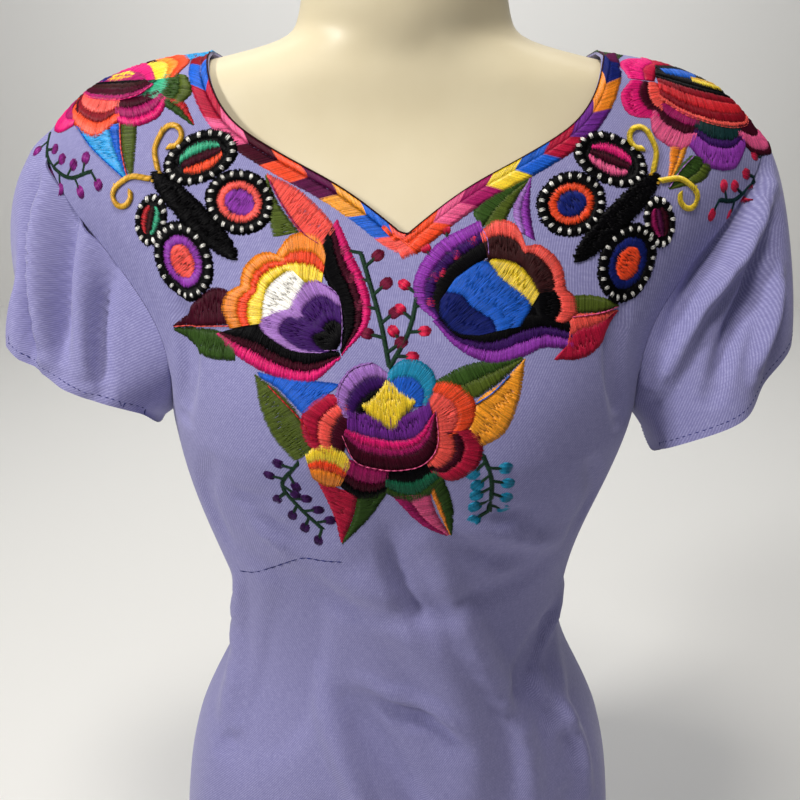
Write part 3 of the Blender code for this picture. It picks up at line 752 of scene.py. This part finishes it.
# the rose in the middle of the chest with its leaves and sprigs
middleFlower = {
    "pixel": (390, 435),
    "reach": 84,
    "grow": 1.04,
    "fills": (
        (((-68, 30), (-54, 21), (-43, 8), (-37, -8)), ((-68, 30), (-65, 12), (-58, -3), (-48, -14)),
         (("olive", 1.0),)),
        (((-64, 28), (-54, 22), (-42, 10)), ((-66, 31), (-46, 28), (-24, 25)), (("blue", 1.0),)),
        (((22, 26), (38, 34), (64, 38)), ((28, 20), (40, 17), (56, 28), (65, 37)),
         (("leaf", 0.5), ("olive", 1.0))),
        (((64, 35), (54, 25), (42, 16), (38, 2)), ((66, 37), (63, 18), (56, 1), (45, -6)), (("amber", 1.0),)),
        (((-24, -61), (-19, -46), (-16, -33)), ((-25, -61), (-29, -44), (-36, -25)), (("crimson", 1.0),)),
        (((-24, -61), (-18, -46), (-16, -33)), ((-24, -62), (-11, -47), (-1, -30)), (("leaf", 1.0),)),
        (((29, -57), (23, -45), (19, -32)), ((28, -58), (14, -49), (1, -33)),
         (("pink", 0.6), ("magenta", 1.0))),
        (((30, -57), (25, -44), (20, -30)), ((31, -58), (31, -40), (26, -22)),
         (("orange", 0.25), ("leaf", 1.0))),
        (((-17, 10), (-19, 4), (-21, -3), (-23, -9)),
         ((-20, 15), (-30, 20), (-42, 11), (-42, -3), (-33, -10)),
         (("maroon", 0.34), ("coral", 0.62), ("crimson", 1.0))),
        (((17, 16), (22, 8), (22, -1)), ((19, 24), (29, 26), (40, 18), (40, 6), (30, -1)),
         (("coral", 0.55), ("orangeRed", 1.0))),
        (((23, 1), (22, -8), (18, -14)), ((30, 2), (40, 2), (45, -6), (42, -17), (31, -24), (21, -20)),
         (("coral", 0.40), ("maroon", 0.60), ("crimson", 1.0))),
        (((-21, -12), (-11, -16), (-1, -18)), ((-25, -27), (-17, -34), (-9, -35), (-2, -30)),
         (("magenta", 0.46), ("maroon", 0.72), ("black", 1.0))),
        (((-2, -18), (8, -18), (20, -14)), ((-2, -31), (7, -36), (16, -35), (26, -24)),
         (("black", 0.36), ("jadeDark", 0.74), ("leaf", 1.0))),
        (((-38, -23), (-32, -27), (-25, -27)), ((-41, -10), (-34, -5), (-24, -7), (-19, -14)),
         (("orange", 0.40), ("orangeRed", 0.62), ("yellow", 1.0))),
        (((-15, 8), (-10, 12), (-4, 17), (0, 20)), ((-22, 9), (-26, 19), (-20, 31), (-9, 35), (0, 29)),
         (("black", 0.30), ("deepPurple", 0.62), ("lilac", 1.0))),
        (((0, 19), (6, 18), (12, 14)), ((-1, 30), (6, 36), (16, 35), (22, 27), (19, 15)),
         (("blue", 0.55), ("turquoise", 1.0))),
        (((-20, 2), (-6, -2), (4, -3), (13, -1), (20, 9)), ((-20, 13), (-10, 11), (1, 9), (12, 12), (18, 18)),
         (("purple", 1.0),)),
        (((-21, 3), (-9, -1), (3, -3), (13, 0), (21, 10)),
         ((-23, -3), (-17, -13), (-7, -17), (4, -18), (16, -15), (23, -4), (22, 11)),
         (("hotPink", 0.30), ("magenta", 0.52), ("maroon", 1.0))),
    ),
    "outlines": (
        (((-23, 0), (-17, -13), (-7, -17), (4, -18), (16, -15), (23, -5), (22, 12)), "pink"),
        (((-60, 24), (-43, 7), (-37, -3)), "red"),
        (((41, 15), (49, 20), (58, 29)), "blue"),
        (((-21, 9), (-25, 19), (-19, 31), (-8, 35)), "lilac"),
    ),
    "tops": (
        (((-13, 13), (-6, 7), (1, 3), (6, 9), (12, 16)), ((-13, 15), (-7, 19), (-1, 26), (5, 21), (12, 17)),
         (("yellow", 1.0),), 0.9),
    ),
    "sprigs": (
        {"stem": ((-45, -15), (-55, -30), (-45, -45), (-35, -55)), "stemThread": "stem",
         "bud": (7.0, 4.9), "thread": "aubergine",
         "count": 11},
        {"stem": ((45, -10), (50, -25), (50, -45)), "stemThread": "stem",
         "bud": (7.4, 6.2), "thread": "turquoise",
         "count": 9},
    ),
}

# two sprigs side by side under the notch
middleSprigs = {
    "pixel": (390, 300),
    "reach": 66,
    "grow": 1.0,
    "fills": (),
    "outlines": (),
    "sprigs": (
        {"stem": ((0, -35), (-5, -10), (-15, 25)), "stemThread": "stem",
         "bud": (7.4, 5.6), "thread": "berry",
         "count": 8},
        {"stem": ((0, -35), (10, -15), (15, 10)), "stemThread": "stem",
         "bud": (6.8, 5.2), "thread": "raspberry",
         "count": 7},
        {"stem": ((15, 10), (25, 25), (35, 35)), "stemThread": "stem", "width": 1.0,
         "bud": (6.8, 5.2), "thread": "raspberry",
         "count": 5},
    ),
}

# half of each shoulder's rose lies in front of the ridge and half behind it
leftShoulder = {
    "pixel": (112, 88),
    "reach": 92,
    "grow": 1.0,
    "sprigs": (
        {"stem": ((-45, -25), (-35, -45), (-15, -55), (5, -50)),
         "stemThread": "stem", "bud": (7.6, 6.0), "thread": "orchid",
         "count": 9},
    ),
    "fills": (
        (((-14, -26), (3, -38), (30, -51)), ((17, -22), (23, -36), (31, -50)),
         (("sky", 0.75), ("blue", 1.0))),
        (((17, -20), (22, -34), (32, -50)), ((27, -18), (31, -32), (34, -49)), (("olive", 1.0),)),
        (((37, -6), (47, -9), (60, -14)), ((41, -1), (51, -2), (61, -13)), (("leaf", 0.5), ("red", 1.0))),
        (((35, -5), (34, 4), (32, 14)), ((50, -4), (54, 5), (46, 14)), (("leaf", 0.6), ("olive", 1.0))),
        (((25, -4), (24, 5), (29, 13)), ((36, -4), (39, 4), (37, 13)), (("jadeDark", 0.3), ("jade", 1.0))),
        (((-40, 26), (-52, 34), (-62, 48)), ((-30, 40), (-42, 48), (-61, 50)),
         (("olive", 0.5), ("leaf", 1.0))),
        (((22, 40), (34, 44), (48, 60)), ((34, 30), (44, 42), (49, 59)), (("sky", 1.0),)),
        (((-26, 2), (-20, -8), (-16, -16)), ((-36, 4), (-42, -10), (-40, -24), (-28, -29), (-17, -26)),
         (("maroon", 0.30), ("magenta", 0.55), ("hotPink", 1.0))),
        (((-21, -1), (-8, -7), (11, -7)), ((-27, -7), (-21, -21), (-7, -30), (5, -31), (16, -20)),
         (("coral", 0.42), ("darkRed", 0.64), ("orangeRed", 1.0))),
        (((9, -8), (20, -6), (32, 1)), ((14, -21), (26, -22), (39, -14), (41, -3)),
         (("maroon", 0.34), ("magenta", 0.70), ("hotPink", 1.0))),
        (((10, 20), (20, 14), (28, 8)), ((10, 36), (24, 38), (37, 28), (40, 12)),
         (("yellow", 0.45), ("orange", 0.7), ("orangeRed", 1.0))),
        (((-26, 8), (-18, 18), (-8, 24)), ((-44, 10), (-42, 28), (-26, 40), (-10, 40)),
         (("coral", 0.40), ("darkRed", 0.60), ("crimson", 1.0))),
        (((-10, 24), (0, 26), (12, 22)), ((-12, 42), (0, 47), (14, 42)),
         (("maroon", 0.34), ("pink", 1.0))),
        (((-21, 5), (-4, 4), (17, 6)), ((-28, 6), (-16, 22), (0, 27), (16, 21), (28, 8)),
         (("magenta", 0.50), ("hotPink", 1.0))),
        (((-21, 7), (-4, 6), (8, 6), (20, 7)), ((-28, 0), (-12, -8), (8, -9), (22, -4), (29, 4)),
         (("black", 0.20), ("brown", 0.45), ("maroon", 0.80), ("magenta", 1.0))),
        (((-19, 6), (-12, 5)), ((-17, 12), (-9, 13)), (("navy", 1.0),)),
        (((-10, 6), (0, 5), (10, 7)), ((-8, 13), (1, 16), (9, 13)), (("gold", 0.5), ("yellow", 1.0))),
    ),
    "outlines": (
        (((-28, 0), (-12, -8), (8, -9), (22, -4), (29, 4)), "hotPink"),
        (((-13, -26), (4, -38), (30, -51)), "blue"),
        (((17, -21), (23, -36), (31, -50)), "coral"),
    ),
}

rightShoulder = {
    "pixel": (690, 95),
    "reach": 92,
    "grow": 1.0,
    "sprigs": (
        {"stem": ((55, -30), (40, -50), (25, -60), (10, -60)), "stemThread": "teal",
         "bud": (7.6, 5.8), "thread": "raspberry",
         "count": 8},
    ),
    "fills": (
        (((-20, -26), (-23, -37), (-26, -47)), ((-8, -27), (-15, -38), (-25, -48)),
         (("orange", 0.6), ("amber", 1.0))),
        (((-9, -35), (-19, -42), (-26, -51)), ((7, -39), (-3, -49), (-25, -52)),
         (("leaf", 0.6), ("olive", 1.0))),
        (((36, 40), (50, 48), (62, 50)), ((46, 30), (58, 38), (63, 48)), (("jade", 1.0),)),
        (((-30, 34), (-40, 44), (-48, 58)), ((-20, 42), (-34, 52), (-47, 59)), (("leaf", 1.0),)),
        (((-20, 10), (-14, 18), (-6, 26)), ((-36, 13), (-34, 26), (-22, 35), (-10, 36)),
         (("crimson", 0.35), ("hotPink", 1.0))),
        (((-19, 8), (-18, 0), (-20, -7)), ((-35, 11), (-44, 2), (-41, -9), (-26, -13)),
         (("coral", 0.34), ("maroon", 0.55), ("hotPink", 1.0))),
        (((-19, -4), (-8, -8), (2, -14)), ((-29, -10), (-29, -22), (-17, -31), (-6, -28)),
         (("magenta", 0.35), ("maroon", 0.58), ("pink", 1.0))),
        (((0, -13), (14, -17), (30, -18)), ((-9, -30), (2, -42), (22, -43), (33, -31)),
         (("teal", 0.38), ("deepPurple", 0.55), ("violet", 1.0))),
        (((30, -16), (40, -13), (48, -6)), ((27, -26), (42, -34), (60, -31), (66, -18)),
         (("maroon", 0.45), ("pink", 0.85), ("maroon", 1.0))),
        (((-6, 26), (8, 27), (24, 22)), ((-10, 40), (8, 46), (32, 40)), (("crimson", 0.5), ("hotPink", 1.0))),
        (((24, 22), (38, 14), (48, 2)), ((34, 40), (54, 30), (66, 10), (64, -10)),
         (("magenta", 0.45), ("coral", 1.0))),
        (((-16, 15), (4, 8), (22, 6), (42, 9)), ((-8, 27), (12, 28), (32, 24), (46, 14)), (("black", 1.0),)),
        (((-16, 14), (4, 7), (22, 5), (42, 7)), ((-21, -2), (-6, -13), (18, -20), (38, -17), (50, -4)),
         (("black", 0.14), ("darkRed", 0.36), ("red", 0.66), ("darkRed", 0.88), ("coral", 1.0))),
    ),
    "outlines": (
        (((-21, -2), (-6, -13), (18, -20), (38, -17), (50, -4)), "coral"),
        (((-7, -35), (-17, -42), (-26, -51)), "lilac"),
    ),
    "tops": (
        (((-8, 16), (4, 14), (14, 15)), ((-8, 22), (6, 23), (16, 20)), (("blue", 1.0),), 0.4),
        (((8, 10), (20, 8), (32, 9)), ((10, 16), (21, 15), (32, 14)), (("yellow", 0.6), ("gold", 1.0)), 0.6),
        (((33, 9), (40, 9)), ((33, 15), (41, 14)), (("leaf", 1.0),), 0.4),
    ),
}


def sewFlower(tree, flower, seed):
    origin = Vector(photoView["place"])
    spot, _, _, _ = tree.ray_cast(origin, photoRay(*flower["pixel"]))
    flat = motifMap(tree, spot, flower["reach"])
    bag = newBag(seed)

    def at(x, y):
        return flat(x * flower["grow"], y * flower["grow"])

    for sprig in flower.get("sprigs", ()):
        sewSprig(bag, at, sprig)
    for i, row in enumerate(flower["fills"]):
        fill(bag, at, row[0], row[1], row[2], lift=floss["overlap"] * i)
    for line, thread in flower["outlines"]:
        outline(bag, at, line, thread, lift=floss["overlap"] * len(flower["fills"]) + 0.2)
    for row in flower.get("tops", ()):
        # patches sewn over the others, with uneven ends
        fill(bag, at, row[0], row[1], row[2], lift=floss["overlap"] * len(flower["fills"]) + 0.3, rim=row[3])
    return bag


# a butterfly, drawn for the left of the chest and mirrored for the right, in mm round its middle

butterfly = {
    "reach": 70,
    "turn": -40,         # the way the body lies, in degrees
    "body": (35, 7),     # half length and half width
    "rim": 0.66,         # share of each wing inside its black rim
    # along and out from the middle, half sizes, turn, kind of wing
    "wings": (
        (-20, 24, 22, 14, 65, "upper"),
        (14, 22, 20, 17, 15, "inner"),
        (-18, -19, 14, 10, -60, "small"),
        (12, -22, 23, 17, -15, "outer"),
    ),
    "dotGap": 5.2,
    "knots": 260,        # on the padded body
    "knotHalf": 1.3,
}


def oval(middle, sizes, turn, start, end, count=9):
    # points on part of an oval, with the angles in degrees
    cosine = math.cos(math.radians(turn))
    sine = math.sin(math.radians(turn))
    spots = []
    for i in range(count):
        angle = math.radians(start + (end - start) * i / (count - 1))
        x = sizes[0] * math.cos(angle)
        y = sizes[1] * math.sin(angle)
        spots.append(Vector((middle[0] + x * cosine - y * sine, middle[1] + x * sine + y * cosine)))
    return spots


def sewWing(bag, at, middle, sizes, turn, kind, colours):
    def ring(share, start=0, end=360):
        return oval(middle, (sizes[0] * share, sizes[1] * share), turn, start, end, 13)

    fill(bag, at, ring(0.8, 180, 360), ring(0.8, 180, 0), (("black", 1.0),), rim=0.4)
    if kind in ("upper", "small"):
        for i, thread in enumerate(colours[kind]):
            low = oval(middle, (sizes[0] * 0.6, sizes[1] * (-0.6 + 0.4 * i)), turn, 150, 30)
            high = oval(middle, (sizes[0] * 0.6, sizes[1] * (-0.2 + 0.4 * i)), turn, 150, 30)
            fill(bag, at, low, high, ((thread, 1.0),), slant=0.08, rim=0.5, lift=0.3)
    else:
        outside, heart = colours[kind]
        fill(bag, at, ring(0.4), ring(0.68), ((outside, 1.0),), rim=0.7, lift=0.3)
        fill(bag, at, ring(0.42, 180, 360), ring(0.42, 180, 0), ((heart, 1.0),), rim=0.7, lift=0.35)
    fill(bag, at, ring(butterfly["rim"]), ring(1.0), (("black", 1.0),),
         rim=0.6, crest=0.8, slant=0.02, lift=0.35)
    count = int(math.pi * (sizes[0] + sizes[1]) * 0.85 / butterfly["dotGap"])
    for i in range(count):
        angle = 360 * i / count
        here = oval(middle, (sizes[0] * 0.85, sizes[1] * 0.85), turn, angle, angle, 2)[0]
        lean = angle + turn + bag["draw"].uniform(-20, 20)
        bud(bag, at, here, lean, 3.5, 1.9, "white", lift=1.1, half=0.55)


def sewButterfly(tree, side, colours, seed):
    origin = Vector(photoView["place"])
    spot, _, _, _ = tree.ray_cast(origin, photoRay(*colours["pixel"]))
    flat = motifMap(tree, spot, butterfly["reach"])
    bag = newBag(seed)
    draw = bag["draw"]
    turn = math.radians(butterfly["turn"])

    def at(x, y):
        # from the body's own line to the cloth, mirrored for the other side
        across = x * math.cos(turn) - y * math.sin(turn)
        return flat(side * across, x * math.sin(turn) + y * math.cos(turn))

    for along, out, long, wide, lean, kind in butterfly["wings"]:
        sewWing(bag, at, (along, out), (long, wide), lean, kind, colours)
    half, width = butterfly["body"]
    upper = oval((0, 0), (half, width), 0, 180, 0)
    lower = oval((0, 0), (half, width), 0, 180, 360)
    fill(bag, at, lower, upper, (("black", 1.0),), slant=0.05, rim=0.8, crest=0.9, lift=0.6)
    for _ in range(butterfly["knots"]):
        share = draw.uniform(-0.95, 0.95)
        here = Vector((share * half, draw.uniform(-0.9, 0.9) * width * math.sqrt(1 - share * share)))
        angle = math.radians(draw.uniform(-15, 75))
        reach = Vector((math.cos(angle), math.sin(angle))) * butterfly["knotHalf"]
        addStrand(bag, at, [here - reach, here, here + reach], "black", crest=0.8, lift=1.1)
    for out in (1, -1):
        bud(bag, at, (-half + 4, 3 * out), 40, 2.4, 1.4, "gold", lift=1.6)
        stalk = [(-half + 2, 3 * out), (-half - 8, 10 * out), (-half - 12, 20 * out)]
        curl = oval((-half - 6, 21 * out), (6, 6 * out), 0, 190, -60, 7)
        rope(bag, at, stalk + curl, 3.0, colours["feeler"], lift=1.3)
    return bag


leftButterfly = {
    "pixel": (194, 215),
    "upper": ("orangeRed", "maroon", "jade"),
    "inner": ("coral", "violet"),
    "outer": ("violet", "coral"),
    "small": ("red", "brown", "jade"),
    "feeler": "gold",
}
rightButterfly = {
    "pixel": (617, 217),
    "upper": ("pink", "maroon", "hotPink"),
    "inner": ("orangeRed", "navy"),
    "outer": ("navy", "orangeRed"),
    "small": ("maroon", "plum", "magenta"),
    "feeler": "yellow",
}

# neckline border, from the shoulder down to the notch, and a plainer round at the back
border = {
    "width": 11.5,
    "vein": 4.2,
    "tip": 7.0,
    "edge": 0.4,
    "past": (2, 4, 6),      # mm past the notch
    "middle": 0.0025,       # the neckline's middle, and half its reach, in metres
    "halfReach": 0.1095,
    "above": 0.5,
    "last": 11.0,
    "left": ("darkRed", "blue", "crimson", "pink", "maroon", "orangeRed", "plum", "amber", "blue", "coral"),
    "right": (
        "plum", "navy", "orange", "purple", "crimson", "blue", "yellow", "magenta", "pink", "orangeRed",
    ),
    "back": ("navy", "orange", "magenta", "blue", "crimson", "yellow", "purple", "pink"),
}


def necklineEdges(shells):
    # the front's neckline from neck point to neck point, and the back's
    found = {}
    for piece in ("front", "back"):
        loop = edgeLoops(shells[piece], piece)[0]
        inside = [
            abs(point.x - border["middle"]) < border["halfReach"] and point.z > border["above"]
            for point in loop
        ]
        start = next(i for i in range(len(loop)) if inside[i] and not inside[i - 1])
        run = []
        for i in range(len(loop)):
            point = loop[(start + i) % len(loop)]
            if not inside[(start + i) % len(loop)]:
                break
            run.append(point)
        found[piece] = run
    return found


def sewBorder(at, length, colours, bag, last, lift):
    # each length of colour ends in a tip that lies over the next one. The last one is longer
    size = (length - last) / len(colours)
    tip = border["tip"]
    for i, thread in enumerate(colours):
        low = max(i * size - (tip if i == 0 else 0), 0)
        high = length if i == len(colours) - 1 else (i + 1) * size
        vein = ((min(low + tip, high), border["vein"]), (min(high + tip, length), border["vein"]))
        outside = ((low, border["width"]), (high, border["width"]))
        inside = ((low, border["edge"]), (high, border["edge"]))
        fill(bag, at, vein, outside, ((thread, 1.0),), rim=0.35, lift=lift)
        fill(bag, at, vein, inside, ((thread, 1.0),), rim=0.3, lift=lift)
    rope(bag, at, ((0, 0.2), (length - 6, 0.2)), 1.0, "brown", lift=0.35, pitch=0.8)


def makeBorder(tree, shells, material):
    edges = necklineEdges(shells)
    front = edges["front"]
    if front[0].x > front[-1].x:
        front = front[::-1]
    notch = min(range(len(front)), key=lambda i: front[i].z)
    halves = {
        "left": front[:notch + 1],
        "right": front[notch:][::-1],
    }
    bag = newBag(31)
    for side, run in halves.items():
        way = (run[-1] - run[-3]).normalized()
        run = run + [tree.find_nearest(run[-1] + way * (d * mm))[0] for d in border["past"]]
        flat, length = edgeMap(tree, run, border["width"] + 4)
        sewBorder(flat, length, border[side], bag, border["last"], 0.0 if side == "left" else 0.4)
    flossPiece(bag, "embroidery_neck_front", material)
    back = edges["back"]
    if back[0].x > back[-1].x:
        back = back[::-1]
    middle = min(range(len(back)), key=lambda i: abs(back[i].x))
    bag = newBag(32)
    for run in (back[:middle + 1], back[middle:][::-1]):
        flat, length = edgeMap(tree, run, border["width"] + 4)
        sewBorder(flat, length, border["back"], bag, 0, 0.0)
    flossPiece(bag, "embroidery_neck_back", material)


# plain sewing: the sleeve hems in navy thread, the body hem in its own colour, and a line of navy strands
# along a crease as a painted shadow line

stitching = {
    "long": 2.6,
    "gap": 1.2,
    "half": 0.32,
    "crest": 0.30,
    "sleeveInset": 4.0,
    "hemInset": 9.0,
    "hemBand": 16,       # mm over the lowest point that still counts as the hem
    "shadowLineStitches": 14,
    "shadowLinePoints": ((240, 571), (255, 572), (270, 568), (285, 563), (303, 558), (325, 561), (343, 562)),
}


def runStitches(tree, edge, inset, thread, bag):
    # a row of stitches set in from an edge
    at, length = edgeMap(tree, edge, inset + 4)
    step = stitching["long"] + stitching["gap"]
    for i in range(int(length / step)):
        x = i * step + bag["draw"].uniform(-0.2, 0.2)
        spots = [(x + stitching["long"] * k / 2, inset) for k in range(3)]
        addStrand(bag, at, spots, thread, stitching["half"], stitching["crest"])


def makeStitching(tree, shells, material):
    bag = newBag(41)
    for piece in ("sleeve_left", "sleeve_right"):
        loops = edgeLoops(shells[piece], piece)[:2]
        hem = min(loops, key=lambda loop: sum(p.z for p in loop) / len(loop))
        runStitches(tree, hem + hem[:1], stitching["sleeveInset"], "navy", bag)
    for piece in ("front", "back"):
        loop = edgeLoops(shells[piece], piece)[0]
        low = min(p.z for p in loop) + stitching["hemBand"] * mm
        start = next(i for i in range(len(loop)) if loop[i].z < low and loop[i - 1].z >= low)
        run = []
        while loop[(start + len(run)) % len(loop)].z < low and len(run) < len(loop):
            run.append(loop[(start + len(run)) % len(loop)])
        runStitches(tree, run[1:-1], stitching["hemInset"], "lavender", bag)
    origin = Vector(photoView["place"])

    def seen(px, py):
        place, facing, _, _ = tree.ray_cast(origin, photoRay(px, py))
        return place, facing

    # navy strands laid along the crease under the flowers, standing in for the crease's shadow edge: a
    # painted shadow line
    line = smoothLine(stitching["shadowLinePoints"])
    count = stitching["shadowLineStitches"]
    for i in range(count):
        spots = [line((i + k / 2) / count) for k in range(3)]
        addStrand(bag, seen, spots, "navy", 0.28, 0.5, lift=0.1)
    flossPiece(bag, "stitching", material)


# materials

def makeClothMaterial():
    # lavender cotton and linen twill, woven: pale and bluer threads in fine slanting lines
    material, tree, shader = newMaterial("lavenderTwill")
    place = addNode(tree, "ShaderNodeUVMap", {"uv_map": "weaveMap"})
    pitch = 0.314 / cloth["twill"]
    turned = addNode(tree, "ShaderNodeMapping", {"Rotation": (0, 0, math.radians(42))}, Vector=place)
    twill = addNode(tree, "ShaderNodeTexWave", {"Scale": pitch, "Distortion": 1.2, "Detail": 1.0,
                                                "Detail Scale": 1.5}, Vector=turned)
    slub = {"Scale": 1.0 / cloth["slub"], "Detail": 2.0}
    warp = addNode(tree, "ShaderNodeMapping", {"Scale": (1, 0.12, 1)}, Vector=place)
    warpNoise = addNode(tree, "ShaderNodeTexNoise", slub, Vector=warp)
    weft = addNode(tree, "ShaderNodeMapping", {"Scale": (0.12, 1, 1)}, Vector=place)
    weftNoise = addNode(tree, "ShaderNodeTexNoise", slub, Vector=weft)
    both = addNode(tree, "ShaderNodeMath", {"operation": "ADD"}, i0=warpNoise, i1=weftNoise)
    softer = addNode(tree, "ShaderNodeMath", {"operation": "MULTIPLY", 1: 0.45}, i0=both)
    lines = addNode(tree, "ShaderNodeMath", {"operation": "MULTIPLY_ADD", 1: 0.36}, i0=twill, i2=softer)
    stops = ((0.42, linear("#7a78a9")), (0.70, linear("#8a88b8")), (0.98, linear("#a5a4cf")))
    colour = ramp(tree, stops, lines)
    patchy = addNode(tree, "ShaderNodeTexNoise", {"Scale": 9.0, "Detail": 3.0},
                     Vector=addNode(tree, "ShaderNodeTexCoord").outputs["Object"])
    shade = ramp(tree, ((0.3, (0.93, 0.93, 0.95, 1)), (0.7, (1.04, 1.03, 1.02, 1))), patchy)
    mixed = addNode(tree, "ShaderNodeMix", {"data_type": "RGBA", "blend_type": "MULTIPLY", 0: 1.0},
                    i6=colour, i7=shade)
    tree.links.new(mixed.outputs[2], shader.inputs["Base Color"])
    bump = addNode(tree, "ShaderNodeBump", {"Strength": 0.38, "Distance": 0.25 * mm}, Height=lines)
    tree.links.new(bump.outputs[0], shader.inputs["Normal"])
    shader.inputs["Roughness"].default_value = 0.86
    shader.inputs["Sheen Weight"].default_value = 0.18
    shader.inputs["Sheen Roughness"].default_value = 0.45
    shader.inputs["Specular IOR Level"].default_value = 0.3
    return material


def makeFlossMaterial():
    # shiny rayon floss, laid by hand: each strand a little lighter or darker, the pale ones gleaming more
    material, tree, shader = newMaterial("rayonFloss")
    tint = addNode(tree, "ShaderNodeVertexColor", {"layer_name": "threadTint"})
    place = addNode(tree, "ShaderNodeTexCoord").outputs["Object"]
    grain = addNode(tree, "ShaderNodeTexNoise", {"Scale": 1400.0, "Detail": 1.0}, Vector=place)
    shade = ramp(tree, ((0.3, (0.80, 0.80, 0.80, 1)), (0.72, (1.18, 1.18, 1.18, 1))), grain)
    mixed = addNode(tree, "ShaderNodeMix", {"data_type": "RGBA", "blend_type": "MULTIPLY", 0: 1.0},
                    i6=tint, i7=shade)
    tree.links.new(mixed.outputs[2], shader.inputs["Base Color"])
    rough = addNode(tree, "ShaderNodeMapRange", {"To Min": 0.32, "To Max": 0.52}, Value=grain)
    tree.links.new(rough.outputs[0], shader.inputs["Roughness"])
    bump = addNode(tree, "ShaderNodeBump", {"Strength": 0.4, "Distance": 0.1 * mm}, Height=grain)
    tree.links.new(bump.outputs[0], shader.inputs["Normal"])
    bright = addNode(tree, "ShaderNodeRGBToBW", Color=tint)
    gleam = addNode(tree, "ShaderNodeMath", {"operation": "MULTIPLY_ADD", 1: 1.4, 2: 0.07}, i0=bright)
    tree.links.new(gleam.outputs[0], shader.inputs["Specular IOR Level"])
    return material


def makeFormMaterial():
    # cream polyethylene, blow moulded: a waxy half gloss with very faint unevenness
    material, tree, shader = newMaterial("creamPlastic")
    place = addNode(tree, "ShaderNodeTexCoord").outputs["Object"]
    cloud = addNode(tree, "ShaderNodeTexNoise", {"Scale": 14.0, "Detail": 4.0}, Vector=place)
    colour = ramp(tree, ((0.3, linear("#d3c6a6")), (0.7, linear("#ddd2b4"))), cloud)
    tree.links.new(colour.outputs[0], shader.inputs["Base Color"])
    fine = addNode(tree, "ShaderNodeTexNoise", {"Scale": 260.0, "Detail": 2.0}, Vector=place)
    rough = addNode(tree, "ShaderNodeMapRange", {"To Min": 0.34, "To Max": 0.46}, Value=fine)
    tree.links.new(rough.outputs[0], shader.inputs["Roughness"])
    bump = addNode(tree, "ShaderNodeBump", {"Strength": 0.12, "Distance": 0.2 * mm}, Height=fine)
    tree.links.new(bump.outputs[0], shader.inputs["Normal"])
    return material


def makeFloor():
    material, tree, shader = newMaterial("paleFloor")
    shader.inputs["Base Color"].default_value = linear("#ecebe8")
    shader.inputs["Roughness"].default_value = 0.7
    bpy.ops.mesh.primitive_plane_add(size=8.0, location=(0, 0, 0))
    floor = bpy.context.object
    floor.name = "floor"
    floor.data.materials.append(material)
    bpy.ops.mesh.primitive_plane_add(size=8.0, location=(0, 2.6, 2.0), rotation=(math.radians(90), 0, 0))
    wall = bpy.context.object
    wall.name = "backdrop"
    wall.data.materials.append(material)


def addLight(name, place, target, size, power, colour):
    bpy.ops.object.light_add(type="AREA", location=place)
    light = bpy.context.object
    light.name = name
    light.data.size = size
    light.data.energy = power
    light.data.color = linear(colour)[:3]
    light.rotation_euler = (Vector(target) - Vector(place)).to_track_quat("-Z", "Y").to_euler()


def makeLights():
    addLight("overhead", (-0.10, -0.42, 1.60), (0, -0.04, 0.50), 0.28, 9, "#fffaf2")
    addLight("leftKey", (-1.15, -0.75, 1.25), (0, 0, 0.40), 0.24, 15, "#fffdf8")
    addLight("frontFill", (0.7, -1.7, 0.9), (0, 0, 0.4), 1.2, 1.2, "#f6f8ff")
    addLight("backdropLight", (0, 1.0, 2.2), (0, 2.6, 0.5), 1.6, 30, "#ffffff")
    world = bpy.data.worlds.new("studio")
    scene.world = world
    world.use_nodes = True
    world.node_tree.nodes["Background"].inputs[0].default_value = (0.92, 0.93, 0.95, 1)
    world.node_tree.nodes["Background"].inputs[1].default_value = 0.14


scene.view_settings.view_transform = "Standard"
makeCamera()
makeFloor()
makeLights()
print("camera, floor and lights")

form = copyOfNode("dress_form", "form")
smoothCopy(form, 2, 70)
form.data.materials.append(makeFormMaterial())
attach(form, "root")
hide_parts("dress_form")
print("form")

clothMaterial = makeClothMaterial()
shells = makeCloth(clothMaterial, form)
for piece, shell in shells.items():
    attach(shell, "root")
    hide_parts(piece)

flossMaterial = makeFlossMaterial()
tree = clothTree(shells)
flowers = (
    ("left", leftFlower), ("right", rightFlower), ("middle", middleFlower),
    ("shoulder_left", leftShoulder), ("shoulder_right", rightShoulder), ("sprigs", middleSprigs),
)
for seed, (name, flower) in enumerate(flowers):
    flossPiece(sewFlower(tree, flower, 11 + seed), "embroidery_" + name, flossMaterial)
for name, colours, side, seed in (("left", leftButterfly, 1, 21), ("right", rightButterfly, -1, 22)):
    flossPiece(sewButterfly(tree, side, colours, seed), "embroidery_butterfly_" + name, flossMaterial)
makeBorder(tree, shells, flossMaterial)
makeStitching(tree, shells, flossMaterial)
